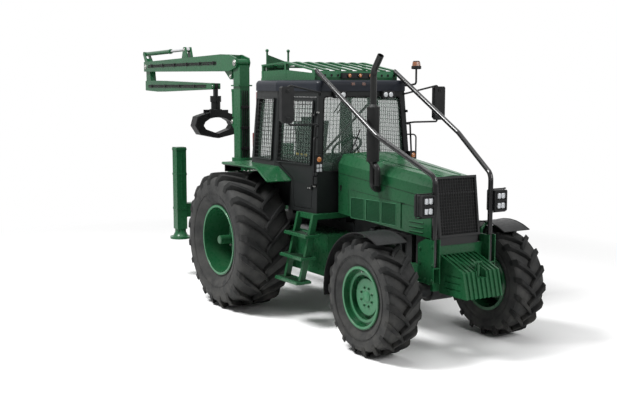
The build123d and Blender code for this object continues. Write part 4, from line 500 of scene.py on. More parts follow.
for side, s in SIDES:
    lo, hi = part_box(f"front_rim_{side}")
    hub = (lo + hi) / 2
    face = hub.y + s * ((hi.y - lo.y) / 2 - 0.090)
    out = Vector((0, s, 0))
    bm = bmesh.new()
    for i in range(8):
        a = 2 * pi * (i + 0.5) / 8
        add_bolt(bm, Vector((hub.x + 0.100 * cos(a), face, hub.z + 0.100 * sin(a))), out, 0.011, 0.022)
    finish(f"front_hub_nuts_{side}", bm, GREEN, f"front_wheel_{side}")
    bm = bmesh.new()
    add_lathe(bm, Vector((hub.x, face, hub.z)), [
        (0.0, 0.014 * s), (0.050, 0.014 * s), (0.058, 0.009 * s), (0.060, 0.0), (0.0, -0.001 * s)], 32)
    add_lathe(bm, Vector((hub.x, face, hub.z)), [
        (0.0, 0.0035 * s), (0.188, 0.0035 * s), (0.192, 0.0), (0.0, -0.001 * s)], 48)
    finish(f"front_hub_cap_{side}", bm, PALE_GREEN, f"front_wheel_{side}", smooth=True)
    hub = rear_hub(side, s)
    bm = bmesh.new()
    for i in range(10):
        a = 2 * pi * i / 10
        add_bolt(bm, hub + Vector((0.142 * cos(a), -s * 0.136, 0.142 * sin(a))), out, 0.014, 0.030)
    finish(f"rear_hub_nuts_{side}", bm, GREEN, f"rear_wheel_{side}")

# Node materials
looks = {
    "gearbox_and_rear_axle": IRON, "engine_and_radiator": IRON, "front_frame": GREEN, "front_axle_beam": IRON,
    "limb_risers": BAR, "ballast_weight": GREEN, "hood_sides": GREEN, "hood_lid": GREEN, "grille": GRILLE,
    "exhaust": EXHAUST, "cab_tub": DARK, "cab_frame": DARK, "cab_glass": GLASS, "cab_roof": ROOF,
    "rear_fenders": GREEN, "seat": FABRIC, "dash_and_steering_wheel": PLASTIC, "roof_guard": GREEN,
    "cab_lamps": PLASTIC, "headlamps": PLASTIC, "mirrors": PLASTIC, "ladders": GREEN, "fuel_tanks": GREEN,
    "crane_base": GREEN, "stabilizer_frame": GREEN, "crane_column": GREEN, "boom": GREEN, "stick": GREEN,
    "lift_cylinder_barrel": GREEN, "lift_cylinder_rod": CHROME, "stick_cylinder_barrel": GREEN,
    "stick_cylinder_rod": CHROME, "hang_link": BLACK_AND_SHADE, "grapple_frame": BLACK_AND_SHADE, "grapple_jaw_left": BLACK_AND_SHADE,
    "grapple_jaw_right": BLACK_AND_SHADE,
}
for side, s in SIDES:
    for name, mat in (
        ("knuckle", GREEN), ("front_mudguard", PLASTIC), ("front_rim", GREEN), ("rear_rim", GREEN), ("door", DARK),
        ("front_tyre", SIDEWALL), ("rear_tyre", SIDEWALL), ("door_glass", GLASS), ("stabilizer_leg", GREEN),
    ):
        looks[f"{name}_{side}"] = mat
for name, obj in nodes.items():
    obj.data.materials.clear()
    obj.data.materials.append(looks[name])

# Window guards: welded mesh outside the side and rear windows

def wall_mesh(name, wall, side, u0, u1, v0, v1, pitch, body, n=14.0):
    bm = bmesh.new()
    normal = wall_normal(wall, side)
    count = max(2, round((u1 - u0) / pitch))
    for i in range(1, count):
        u = u0 + (u1 - u0) * i / count
        add_wire(bm, on_wall(wall, u, v0, n, side), on_wall(wall, u, v1, n, side), 0.0022, normal)
    count = max(2, round((v1 - v0) / pitch))
    for i in range(1, count):
        v = v0 + (v1 - v0) * i / count
        add_wire(bm, on_wall(wall, u0, v, n + 4, side), on_wall(wall, u1, v, n + 4, side), 0.0022, normal)
    finish(name, bm, BLACK_AND_SHADE, body)
    bm = bmesh.new()
    corners = [(u0, v0), (u1, v0), (u1, v1), (u0, v1)]
    for (a0, b0), (a1, b1) in zip(corners, corners[1:] + corners[:1]):
        add_rod(bm, on_wall(wall, a0, b0, n + 1, side), on_wall(wall, a1, b1, n + 1, side), 0.010, 8)
    finish(name + "_rail", bm, DARK, body, smooth=True)


for side, s in SIDES:
    wall_mesh(f"door_mesh_{side}", DOOR_WALL, s, 150.0, 800.0, 556.0, 1300.0, 50.0, f"door_{side}")
    wall_mesh(f"rear_side_mesh_{side}", REAR_SIDE_WALL, s, 58.0, 530.0, 566.0, 1316.0, 50.0, "chassis")
wall_mesh("rear_window_mesh", BACK_WALL, 1, 160.0, 1370.0, 560.0, 1340.0, 55.0, "chassis")

# Hood: mesh in the sunk windows with backs of painted shade, louvre blades over slots of painted shade, seams drawn as
# dark strips of painted shade, and handles

def hood_half(x):
    return HOOD_HALF - (x - HOOD_REAR) * HOOD_NARROWS / HOOD_LEN


def hood_top(x):
    return HOOD_TOP - (x - HOOD_REAR) * HOOD_FALLS / HOOD_LEN


def on_hood(x, z, n, s):
    return at(x, s * (hood_half(x) + n), z)


def hood_corners(x0, x1, z0, z1, n, s):
    return [on_hood(x, z, n, s) for x, z in ((x0, z0), (x1, z0), (x1, z1), (x0, z1))]


def loop_rods(bm, points, radius, sides=8):
    for a, b in zip(points, points[1:] + points[:1]):
        add_rod(bm, a, b, radius, sides)


def add_plate(bm, corners, inward):
    """A thin plate from its corners, thickened inward."""
    top = [bm.verts.new(p) for p in corners]
    low = [bm.verts.new(p + inward) for p in corners]
    count = len(corners)
    bm.faces.new(top)
    bm.faces.new(low[::-1])
    for i in range(count):
        bm.faces.new((top[i], low[i], low[(i + 1) % count], top[(i + 1) % count]))


for side, s in SIDES:
    out = Vector((HOOD_OUT[0], s * HOOD_OUT[1], 0))
    wires = bmesh.new()
    rims = bmesh.new()
    backs = bmesh.new()
    for i in range(3):
        x0 = 1690.0 + 265.0 * i
        x1 = x0 + 235.0
        z0, z1 = 1270.0, 1505.0
        for k in range(1, 16):
            x = x0 + (x1 - x0) * k / 16
            add_wire(wires, on_hood(x, z0, -5, s), on_hood(x, z1, -5, s), 0.0016, out)
            z = z0 + (z1 - z0) * k / 16
            add_wire(wires, on_hood(x0, z, -3, s), on_hood(x1, z, -3, s), 0.0016, out)
        loop_rods(rims, hood_corners(x0, x1, z0, z1, 0.5, s), 0.0035)
        # Pocket back: a dark plate of painted shade
        add_plate(backs, hood_corners(x0, x1, z0, z1, -7.5, s), -out * 0.002)
    finish(f"hood_window_mesh_{side}", wires, MESH_GREEN, "chassis")
    finish(f"hood_window_rims_{side}", rims, PALE_GREEN, "chassis", smooth=True)
    finish(f"hood_window_shade_backs_{side}", backs, MESH_PAINTED_SHADE, "chassis")
    slots = bmesh.new()
    blades = bmesh.new()
    for i in range(3):
        z0 = 1232.0 + 50.0 * i
        x0, x1 = 2665.0, 2885.0
        # Plate behind each blade: painted shade in the slot
        add_plate(slots, hood_corners(x0, x1, z0, z0 + 22, -7, s), -out * 0.002)
        add_plate(blades, [on_hood(x0 + 4, z0 + 23, 1, s), on_hood(x1 - 4, z0 + 23, 1, s),
                           on_hood(x1 - 4, z0 + 10, 7, s), on_hood(x0 + 4, z0 + 10, 7, s)], -out * 0.002)
    finish(f"louvre_slot_shade_{side}", slots, BLACK_AND_SHADE, "chassis")
    finish(f"louvre_blades_{side}", blades, GREEN, "chassis")
    # Thin dark strips along the seams: painted shade in the gaps between panels
    seams = bmesh.new()
    ends = [on_hood(x, hood_top(x) - LID_SEAM, -0.2, s) for x in (1462, 2998)]
    add_wire(seams, *ends, 0.0022, out)
    add_wire(seams, on_hood(1690, 1592, -0.8, s), on_hood(2990, 1486, -0.8, s), 0.0020, out)
    add_wire(seams, on_hood(1640, 1300, -0.8, s), on_hood(1640, 1595, -0.8, s), 0.0018, out)
    finish(f"hood_seam_shade_{side}", seams, TRIM_AND_SHADE, "chassis")
    grip = bmesh.new()
    add_plate(grip, hood_corners(1494, 1514, 1570, 1622, 1.5, s), -out * 0.003)
    loop_rods(grip, hood_corners(1492, 1516, 1568, 1624, 2, s), 0.003)
    finish(f"hood_handle_{side}", grip, BLACK_AND_SHADE, "chassis")

# Beads pressed along the hood lid
lid = bmesh.new()
for y in (-150.0, 150.0):
    add_wire(lid, at(1520, y * 1.25, hood_top(1520) - 8.5), at(2960, y * 0.85, hood_top(2960) - 9.0), 0.004, UP)
finish("hood_lid_beads", lid, GREEN, "hood_lid")

# Lamps: lenses and rims, with a bent bar round each pair of headlamps
for side, s in SIDES:
    lenses = bmesh.new()
    rims = bmesh.new()
    for z in (1473.0, 1576.5):
        for y in (457.0, 509.0):
            box_mm(lenses, 3194, 3201, s * (y - 23), s * (y + 23), z + 14, z + 72, 14.0)
        corners = ((414, z - 1), (550, z - 1), (550, z + 87), (414, z + 87))
        loop_rods(rims, [at(3203, s * y, h) for y, h in corners], 0.0035)
    finish(f"headlamp_lens_{side}", lenses, WHITE_LENS, "chassis")
    for z in (1447.0, 1690.0):
        add_tube(rims, [at(3160, s * 392, z), at(3160, s * 585, z), at(3130, s * 585, z)], 0.007, 10, 0.03)
    add_tube(rims, [at(3130, s * 585, 1447), at(3130, s * 585, 1690)], 0.007, 10)
    finish(f"headlamp_rims_{side}", rims, BLACK_AND_SHADE, "chassis", smooth=True)
    turn = bmesh.new()
    add_lathe(turn, at(1428, s * 673, 1930), [
        (0.0, 0.014), (0.020, 0.012), (0.030, 0.004), (0.031, 0.0), (0.0, -0.001)], 24, "X")
    finish(f"turn_lamp_amber_{side}", turn, AMBER_LENS, "chassis", smooth=True)
    turn = bmesh.new()
    for y, z in ((653, 1808), (693, 1808), (653, 1856), (693, 1856)):
        box_mm(turn, 1424, 1432, s * (y - 15), s * (y + 15), z - 19, z + 19, 7.0)
    finish(f"turn_lamp_white_{side}", turn, WHITE_LENS, "chassis")
    work = bmesh.new()
    for y in (302.0, 378.0):
        add_lathe(work, at(1360, s * y, 2665), [
            (0.0, 0.009), (0.020, 0.008), (0.029, 0.004), (0.031, 0.0), (0.0, -0.001)], 24, "X")
    finish(f"work_lamp_lens_{side}", work, WHITE_LENS, "chassis", smooth=True)
    rims = bmesh.new()
    corners = ((259, 2629), (421, 2629), (421, 2701), (259, 2701))
    loop_rods(rims, [at(1363, s * y, z) for y, z in corners], 0.006)
    finish(f"work_lamp_rim_{side}", rims, PLASTIC, "chassis", smooth=True)
    for name, mat, slot, bevel, boxes in (
        ("tail_lamp", RED_LENS, "window", 8.0, ((-112, -62, 612, 672, 2540, 2690), (-146, -96, 648, 708, 1990, 2170))),
        ("tail_plate", BLACK_AND_SHADE, "black_steel", 6.0, ((-346, -326, 780, 1010, 1672, 1798),)),
        ("tail_lens", RED_LENS, "window", 6.0, ((-358, -345, 795, 890, 1690, 1780),)),
        ("tail_turn", AMBER_LENS, "window", 6.0, ((-358, -345, 900, 995, 1690, 1780),)),
    ):
        bm = bmesh.new()
        for x0, x1, y0, y1, z0, z1 in boxes:
            box_mm(bm, x0, x1, s * y0, s * y1, z0, z1, bevel)
        finish(f"{name}_{side}", bm, mat, "chassis")

amber = bmesh.new()
for y in (-150.0, 0.0, 150.0):
    add_lathe(amber, at(1263, y, 2887.5), [
        (0.0, 0.009), (0.012, 0.008), (0.021, 0.003), (0.0225, -0.002), (0.0, -0.003)], 24, "X")
finish("roof_lamp_lenses", amber, AMBER_LENS, "chassis", smooth=True)
dim = bmesh.new()
for y in (-150.0, 0.0, 150.0):
    box_mm(dim, 1334, 1341, y - 24, y + 24, 2772, 2806, 5.0)
finish("roof_reflectors", dim, REFLECTOR, "chassis")
dome = bmesh.new()
add_lathe(dome, at(BEACON_X, BEACON_Y, 0), [
    (0.0, 3.0665), (0.020, 3.0660), (0.036, 3.0625), (0.046, 3.0530), (0.0520, 3.0120), (0.0535, 3.0045),
    (0.0, 3.0035)], 32, "Z")
finish("beacon_dome", dome, BEACON, "chassis", smooth=True)
collar = bmesh.new()
add_lathe(collar, at(BEACON_X, BEACON_Y, 0), [
    (0.0, 2.966), (0.046, 2.966), (0.058, 2.976), (0.060, 3.000), (0.056, 3.006), (0.0, 3.006)], 32, "Z")
finish("beacon_collar", collar, PLASTIC, "chassis", smooth=True)

# Behind the grille: a near-black screen, partly the dark radiator and partly painted shade inside the nose, and the
# radiator core with upright fins
core = bmesh.new()
corners = [at(3012, -262, 1826), at(3012, 262, 1826), at(3086, 262, 1226), at(3086, -262, 1226)]
add_plate(core, corners, Vector((-0.004, 0, 0)))
box_mm(core, 2862, 2868, -268, 268, 1245, 1592, 2.0)
for i in range(52):
    y = -262.0 + 524.0 * i / 51
    box_mm(core, 2867, 2874, y - 1.5, y + 1.5, 1255, 1585, 0.4)
finish("radiator_core_and_shade_screen", core, TRIM_AND_SHADE, "chassis")

# Roof guard: pale front strip with holes drawn as black discs of painted shade, side sheets, bolts on the base
strip = bmesh.new()
box_mm(strip, 1189, 1192.5, -588, 588, 2866, 2938, 1.2)
finish("guard_strip", strip, PALE_GREEN, "chassis")
for side, s in SIDES:
    sheet = bmesh.new()
    outline = ((-112, 2858), (1168, 2858), (1168, 2914), (500, 2962), (-112, 2952))
    add_plate(sheet, [at(x, s * 588, z) for x, z in outline], Vector((0, -s * 0.003, 0)))
    finish(f"guard_sheet_{side}", sheet, GREEN, "chassis")
# Black discs on the strip: painted shade in its holes
holes = bmesh.new()
rings = bmesh.new()
for i in range(13):
    y = -540.0 + 90.0 * i
    if abs(y) > 235.0:
        add_lathe(holes, at(1192.8, y, 2888), [(0.0, 0.0), (0.016, 0.0), (0.0165, -0.001), (0.0, -0.0012)], 20, "X")
        add_lathe(rings, at(1192.4, y, 2888), [
            (0.016, 0.0), (0.017, 0.0025), (0.022, 0.0025), (0.0235, 0.0)], 20, "X")
finish("guard_strip_hole_shade", holes, BLACK_AND_SHADE, "chassis")
finish("guard_strip_rings", rings, PALE_GREEN, "chassis", smooth=True)
bolts = bmesh.new()
for x in (-80.0, 250.0, 560.0, 870.0, 1140.0):
    for y in (-545.0, 545.0):
        add_bolt(bolts, at(x, y, 2861), UP, 0.010, 0.014)
for y in (-380.0, -300.0):
    add_bolt(bolts, at(-98, y, 2960), Vector((1, 0, 0)), 0.008, 0.010)
finish("guard_bolts", bolts, GREEN, "chassis")

# Mirrors: glass on the rear face, clamps on the rods
for side, s in SIDES:
    glass = bmesh.new()
    box_mm(glass, 1357.5, 1361, s * 1010, s * 1150, 2390, 2740, 1.2)
    finish(f"mirror_glass_{side}", glass, MIRROR, "chassis")
    clamp = bmesh.new()
    for z in (2710, 2400):
        box_mm(clamp, 1419, 1430, s * 1055, s * 1105, z - 20, z + 20, 4.0)
        add_bolt(clamp, at(1429, s * 1080, z), Vector((1, 0, 0)), 0.008, 0.009)
    finish(f"mirror_clamps_{side}", clamp, PLASTIC, "chassis")

# Window rubbers, door handles, grab rails, hinge bolts, wiper and screen bars
DOOR_PANE = [(153.0, 560.0), (798.0, 580.0), (798.0, 1297.0), (153.0, 1297.0)]
SIDE_PANE = [(62.0, 570.0), (545.0, 570.0), (495.0, 1315.0), (62.0, 1315.0)]
FRONT_PANE = [(90.0, 480.0), (1290.0, 480.0), (1230.0, 1345.0), (150.0, 1345.0)]
BACK_PANE = [(130.0, 560.0), (1400.0, 560.0), (1360.0, 1345.0), (170.0, 1345.0)]


def window_rubber(name, wall, pane, side, body):
    bm = bmesh.new()
    (a0, b0), (a1, b1) = pane[0], pane[1]
    middle = ((a0 + a1) / 2, (b0 + b1) / 2)
    route = [middle] + pane[1:] + [pane[0], middle]
    add_tube(bm, [on_wall(wall, u, v, 1.5, side) for u, v in route], 0.0075, 8, 0.045, 4)
    finish(name, bm, TRIM_AND_SHADE, body, smooth=True)


for side, s in SIDES:
    window_rubber(f"door_rubber_{side}", DOOR_WALL, DOOR_PANE, s, f"door_{side}")
    window_rubber(f"side_rubber_{side}", REAR_SIDE_WALL, SIDE_PANE, s, "chassis")
    out = wall_normal(DOOR_WALL, s)
    bm = bmesh.new()
    corners = ((720, 530), (800, 530), (800, 575), (720, 575))
    add_plate(bm, [on_wall(DOOR_WALL, u, v, 4, s) for u, v in corners], -out * 0.004)
    route = ((730, 2), (730, 26), (792, 26), (792, 2))
    add_tube(bm, [on_wall(DOOR_WALL, u, 552, n, s) for u, n in route], 0.008, 10, 0.012)
    finish(f"door_handle_{side}", bm, PLASTIC, f"door_{side}", smooth=True)
    bm = bmesh.new()
    route = ((330, 0), (330, 42), (1010, 42), (1010, 0))
    add_tube(bm, [on_wall(DOOR_WALL, 45, v, n, s) for v, n in route], 0.011, 12, 0.04)
    finish(f"grab_rail_{side}", bm, BLACK_AND_SHADE, "chassis", smooth=True)
    for name, body, places, rows in (
        ("door", f"door_{side}", (140.0, 175.0), (285.0, 1135.0)),
        ("pillar", "chassis", (45.0, 75.0), (315.0, 1165.0)),
    ):
        bm = bmesh.new()
        for v in rows:
            for u in places:
                add_bolt(bm, on_wall(DOOR_WALL, u, v, 8, s), out, 0.006, 0.006)
        finish(f"{name}_hinge_bolts_{side}", bm, BOLT, body)
window_rubber("screen_rubber", FRONT_WALL, FRONT_PANE, 1, "chassis")
window_rubber("back_rubber", BACK_WALL, BACK_PANE, 1, "chassis")
wiper = bmesh.new()
add_tube(wiper, [on_wall(FRONT_WALL, 690, 452, 2), on_wall(FRONT_WALL, 690, 452, 26),
                 on_wall(FRONT_WALL, 560, 800, 10)], 0.006, 8, 0.02)
add_wire(wiper, on_wall(FRONT_WALL, 470, 640, 3), on_wall(FRONT_WALL, 640, 960, 3), 0.005, wall_normal(FRONT_WALL))
add_rod(wiper, on_wall(FRONT_WALL, 690, 452, 0), on_wall(FRONT_WALL, 690, 452, 32), 0.016, 14)
finish("wiper", wiper, PLASTIC, "chassis", smooth=True)
bar = bmesh.new()
add_rod(bar, on_wall(FRONT_WALL, 126, 690, -40), on_wall(FRONT_WALL, 790, 1255, -40), 0.015, 14)
for u in (440.0, 495.0):
    add_rod(bar, on_wall(FRONT_WALL, u - 150, 1150, -30), on_wall(FRONT_WALL, u, 1330, -30), 0.006, 10)
finish("screen_bars", bar, BLACK_AND_SHADE, "chassis", smooth=True)

# Fenders: black lining below, rolled outer edge
for side, s in SIDES:
    lining = bmesh.new()
    box_mm(lining, -326, 598, s * 604, s * 1046, 1764, 1771, 2.0)
    finish(f"fender_lining_{side}", lining, PLASTIC, "chassis")
    lip = bmesh.new()
    add_tube(lip, [at(-328, s * 1048, 1784), at(606, s * 1048, 1784), at(868, s * 1048, 1650)], 0.013, 10, 0.05)
    finish(f"fender_lip_{side}", lip, GREEN, "chassis", smooth=True)

# Ladders: gripping teeth, and dark slots of painted shade along the treads
LADDER_X = 1277.5
TREADS = [(945.0 - share * 185.0, 514.0 + share * 800.0) for share in (0.04, 0.38, 0.70)]
for side, s in SIDES:
    teeth = bmesh.new()
    gaps = bmesh.new()
    for y, z in TREADS:
        for i in range(15):
            x = LADDER_X + (i - 7) * 32.0
            box_mm(teeth, x - 8, x + 8, s * (y - 92), s * (y - 84), z - 2, z + 9, 1.5)
            box_mm(teeth, x - 8, x + 8, s * (y + 84), s * (y + 92), z - 2, z + 9, 1.5)
        # Black slabs flush with the tread: painted shade in its slots
        for i in range(7):
            x = LADDER_X + (i - 3) * 66.0
            box_mm(gaps, x - 22, x + 22, s * (y - 60), s * (y + 60), z - 1.2, z + 0.9, 0.4)
    finish(f"tread_teeth_{side}", teeth, PALE_GREEN, "chassis")
    finish(f"tread_gap_shade_{side}", gaps, BLACK_AND_SHADE, "chassis")

# Nose: socket bolts and weight pin handle
bolts = bmesh.new()
for s in (1, -1):
    for x, z in ((2985, 800), (2985, 960), (2985, 1110), (3185, 800), (3185, 960), (3185, 1150), (3080, 800)):
        add_bolt(bolts, at(x, s * 415, z), Vector((0, s, 0)), 0.012, 0.014)
finish("nose_bolts", bolts, GREEN, "chassis")
pin = bmesh.new()
add_tube(pin, [at(3409, -48, 968), at(3409, -48, 992), at(3409, 48, 992), at(3409, 48, 968)], 0.008, 10, 0.016)
add_rod(pin, at(3409, 0, 960), at(3409, 0, 996), 0.012, 14)
finish("weight_pin_handle", pin, GREEN, "chassis", smooth=True)

# Rims: stepped rings, valves and bolts
def add_step(bm, hub, radii, low, high, segments):
    """A raised ring with a flat top."""
    add_lathe(bm, hub, list(zip(radii, (low, high, high, low))), segments)


for side, s in SIDES:
    lo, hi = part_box(f"front_rim_{side}")
    hub = (lo + hi) / 2
    ring = bmesh.new()
    add_step(ring, hub, (0.232, 0.236, 0.262, 0.268), s * 0.112, s * 0.1195, 64)
    add_step(ring, hub, (0.297, 0.301, 0.318, 0.322), s * 0.168, s * 0.1735, 64)
    finish(f"front_rim_rings_{side}", ring, PALE_GREEN, f"front_wheel_{side}", smooth=True)
    valve = bmesh.new()
    add_rod(valve, hub + Vector((0.0, s * 0.108, 0.282)), hub + Vector((0.0, s * 0.150, 0.268)), 0.006, 10)
    finish(f"front_valve_{side}", valve, BOLT, f"front_wheel_{side}")
    hub = rear_hub(side, s)
    ring = bmesh.new()
    add_step(ring, hub, (0.350, 0.354, 0.392, 0.397), -s * 0.078, -s * 0.070, 72)
    add_step(ring, hub, (0.412, 0.416, 0.431, 0.436), s * 0.277, s * 0.2835, 72)
    add_lathe(ring, hub, [
        (0.0, s * 0.024), (0.082, s * 0.024), (0.090, s * 0.016), (0.092, s * 0.006), (0.0, s * 0.005)], 40)
    finish(f"rear_rim_rings_{side}", ring, PALE_GREEN, f"rear_wheel_{side}", smooth=True)
    valve = bmesh.new()
    add_rod(valve, hub + Vector((0.0, -s * 0.078, 0.396)), hub + Vector((0.0, -s * 0.030, 0.380)), 0.007, 10)
    for i in range(8):
        a = 2 * pi * (i + 0.5) / 8
        p = hub + Vector((0.372 * cos(a), -s * 0.070, 0.372 * sin(a)))
        add_bolt(valve, p, Vector((0, s, 0)), 0.012, 0.018)
    finish(f"rear_rim_bolts_{side}", valve, BOLT, f"rear_wheel_{side}")

# Mudguard lips
LIP_R = 671.0
for side, s in SIDES:
    lip = bmesh.new()
    for edge in (-183.0, 183.0):
        route = []
        for k in range(15):
            turn = radians(-8.0 + 126.0 * k / 14)
            x = FRONT_AXLE_X - LIP_R * cos(turn)
            route.append(at(x, s * (837.0 + edge), FRONT_AXLE_Z + LIP_R * sin(turn)))
        add_tube(lip, route, 0.007, 8, 0.02, 2)
    finish(f"mudguard_lip_{side}", lip, TRIM_AND_SHADE, f"knuckle_{side}", smooth=True)

# Exhaust: clamps, and the short side pipe with its open end shown by a black disc of painted shade
pipe = bmesh.new()
for z in (1962.0, 2240.0, 2528.0):
    add_lathe(pipe, at(STACK_X, STACK_Y, z), [
        (0.069, -0.012), (0.0735, -0.012), (0.0735, 0.012), (0.069, 0.012)], 36, "Z")
route = ((STACK_X + 15, 1930), (SIDE_PIPE_X, 1880), (SIDE_PIPE_X, 1690))
add_tube(pipe, [at(x, STACK_Y, z) for x, z in route], 0.033, 20, 0.03)
finish("exhaust_clamps", pipe, EXHAUST, "chassis", smooth=True)
# Black disc in the pipe's open end: painted shade in the bore
pipe = bmesh.new()
add_lathe(pipe, at(SIDE_PIPE_X, STACK_Y, 0), [(0.0, 1.700), (0.026, 1.700), (0.0275, 1.6885), (0.0, 1.6885)], 24, "Z")
finish("exhaust_end_shade", pipe, BLACK_AND_SHADE, "chassis", smooth=True)

# Engine side: filters, starter and lines in the gap below the hood
bm = bmesh.new()
for s in (1, -1):
    for x in (1980.0, 2110.0):
        add_lathe(bm, at(x, s * 285, 0), [
            (0.0, 1.02), (0.045, 1.02), (0.050, 1.03), (0.050, 1.17), (0.040, 1.18), (0.0, 1.18)], 24, "Z")
        add_rod(bm, at(x, s * 224, 1170), at(x, s * 290, 1170), 0.02, 12)
    add_rod(bm, at(1650, s * 262, 960), at(1880, s * 262, 960), 0.048, 20)
    add_rod(bm, at(1880, s * 262, 960), at(1930, s * 262, 960), 0.032, 18)
    box_mm(bm, 2250, 2470, s * 224, s * 262, 960, 1130, 10.0)
    add_tube(bm, [at(2300, s * 258, 1100), at(2300, s * 275, 1190), at(2560, s * 275, 1190),
                  at(2640, s * 215, 1190)], 0.012, 10, 0.05)
finish("engine_side_parts", bm, IRON, "chassis", smooth=True)

# Cab inside: padded seat, control boxes with levers, grab bar
SEAM_DEPTH, SEAM_WIDTH = 0.096, 0.035
BACK_TILT = radians(-82.0)
LEVERS = (440.0, 540.0, 640.0)


def cushion(name, lo, hi, crown, seams, tilt=0.0):
    """A crowned pad whose sides pull in between its corners, with sewn channels."""
    bm = bmesh.new()
    bmesh.ops.create_cube(bm, size=2.0)
    bmesh.ops.subdivide_edges(bm, edges=bm.edges[:], cuts=15, use_grid_fill=True)
    centre = (lo + hi) / 2
    size = (hi - lo) / 2
    turn = Matrix.Rotation(tilt, 3, "Y")
    for v in bm.verts:
        a, b, c = v.co
        round_a = 1.0 - 0.055 * (1 - b * b) * abs(a) ** 3
        round_b = 1.0 - 0.055 * (1 - a * a) * abs(b) ** 3
        edge = max(abs(a), abs(b))
        thin = 1.0 - 0.34 * edge ** 5
        rise = crown * (1 - a * a) * (1 - b * b)
        if c > 0:
            for place in seams:
                rise -= SEAM_DEPTH * crown * 2.718 ** (-((b - place) / SEAM_WIDTH) ** 2)
        draw = 1 - 0.03 * c * c
        co = Vector((a * size.x * round_a * draw, b * size.y * round_b * draw, c * size.z * thin))
        if c > 0:
            co.z += rise * c
        v.co = centre + turn @ co
    obj = piece(name, bm, FABRIC, "chassis")
    obj.data.shade_smooth()
    mod = obj.modifiers.new("soft", "SUBSURF")
    mod.levels = 1
    mod.render_levels = 1
    return obj


base_pad = cushion("seat_cushion", at(225, -245, 1686), at(715, 245, 1782), 0.014, (-0.55, 0.0, 0.55))
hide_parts("seat")
cushion("seat_back", at(-128, -235, 2004), at(432, 235, 2086), 0.016, (-0.5, 0.5), BACK_TILT)
cushion("seat_headrest", at(40, -130, 2290), at(160, 130, 2340), 0.006, (), BACK_TILT)
shell_bm = bmesh.new()
for y in (-200, 200):
    add_tube(shell_bm, [at(204, y, 1700), at(150, y, 1780), at(72, y, 2320)], 0.012, 10, 0.05)
finish("seat_frame", shell_bm, BLACK_AND_SHADE, "chassis", smooth=True)
bm = bmesh.new()
for s in (1, -1):
    box_mm(bm, 330, 690, s * 315, s * 470, 1352, 1800, 18.0)
    for x in LEVERS:
        add_lathe(bm, at(x, s * 390, 1798), [(0.030, 0.0), (0.026, 0.014), (0.012, 0.030), (0.0, 0.030)], 16, "Z")
    box_mm(bm, 300, 620, s * 290, s * 345, 1800, 1850, 18.0)
finish("control_boxes", bm, PLASTIC, "chassis")
bm = bmesh.new()
knobs = bmesh.new()
for s in (1, -1):
    for x in LEVERS:
        add_rod(bm, at(x, s * 390, 1820), at(x + 14, s * 390, 1920), 0.006, 10)
        add_lathe(knobs, at(x + 14, s * 390, 1920), [
            (0.0, -0.020), (0.013, -0.015), (0.019, 0.002), (0.013, 0.017), (0.0, 0.021)], 18, "Z")
finish("control_levers", bm, CHROME, "chassis")
finish("control_knobs", knobs, YELLOW, "chassis", smooth=True)
bm = bmesh.new()
add_tube(bm, [at(1235, -560, 1850), at(1180, -560, 2000), at(1170, -540, 2480)], 0.014, 12, 0.05)
add_lathe(bm, at(1200, 0, 1950), [(0.0, 0.02), (0.16, 0.0), (0.17, -0.03)], 24, "Z")
finish("inside_bar", bm, PLASTIC, "chassis", smooth=True)

# Crane: pin heads, pipes in clamps, bolts round the slewing ring, bands and feet of the legs
def pin_heads(name, body, pins):
    bm = bmesh.new()
    for x, z, y, radius in pins:
        for s in (1, -1):
            add_rod(bm, at(x, s * (y - 1), z), at(x, s * (y + 10), z), radius / 1000, 24)
            add_bolt(bm, at(x, s * (y + 10), z), Vector((0, s, 0)), radius * 0.42 / 1000, 0.010)
    finish(name, bm, BOLT, body)


pin_heads("boom_pivot_heads", "boom", [(COLUMN_X, BOOM_Z, 114, 46)])
pin_heads("boom_lug_heads", "boom", [(-2050, 2905, 62, 30), (-3740, 3350, 56, 28)])
pin_heads("elbow_heads", "stick", [(ELBOW_X, BOOM_Z, 90, 46)])
pin_heads("stick_tip_heads", "stick", [(HANG_X, STICK_Z, 54, 30)])
pin_heads("lift_base_heads", "column", [(-2025, 2240, 56, 30)])


def clamped_pipes(name, body, routes, clamps):
    bm = bmesh.new()
    for route in routes:
        add_tube(bm, [at(*p) for p in route], 0.008, 10, 0.03)
    finish(name, bm, TRIM_AND_SHADE, body, smooth=True)
    bm = bmesh.new()
    for box in clamps:
        box_mm(bm, *box, 4.0)
    finish(name + "_clamps", bm, BLACK_AND_SHADE, body)


for side, s in SIDES:
    runs = []
    clamps = []
    for dz in (22.0, -4.0):
        z = BOOM_Z + dz
        runs.append([(-2440, s * 96, z), (-2500, s * 99, z), (-4300, s * 99, z), (-5180, s * 99, z - 4),
                     (-5240, s * 88, z - 10)])
    for x in (-2560.0, -3060.0, -3560.0, -4060.0, -4560.0, -5060.0):
        clamps.append((x - 18, x + 18, s * 89, s * 111, 3082, 3136))
    clamped_pipes(f"boom_pipes_{side}", "boom", runs, clamps)
    runs = []
    clamps = []
    for dz in (14.0, -12.0):
        z = STICK_Z + dz
        runs.append([(-5260, s * 80, z), (-5200, s * 84, z), (-2940, s * 84, z), (-2880, s * 74, z)])
    for x in (-5100.0, -4500.0, -3900.0, -3300.0):
        clamps.append((x - 18, x + 18, s * 74, s * 96, 2736, 2786))
    clamped_pipes(f"stick_pipes_{side}", "stick", runs, clamps)
runs = []
for y in (-45.0, -15.0, 15.0, 45.0):
    runs.append([(-1712, y, 1690), (-1711, y, 1800), (-1711, y, 2640), (-1722, y, 2700)])
clamped_pipes("column_pipes", "column", runs,
              [(-1722, -1698, -66, 66, z - 20, z + 20) for z in (1860.0, 2160.0, 2460.0)])
bolts = bmesh.new()
for i in range(20):
    a = 2 * pi * i / 20
    add_bolt(bolts, at(COLUMN_X + 186 * cos(a), 186 * sin(a), SLEW_Z), UP, 0.012, 0.014)
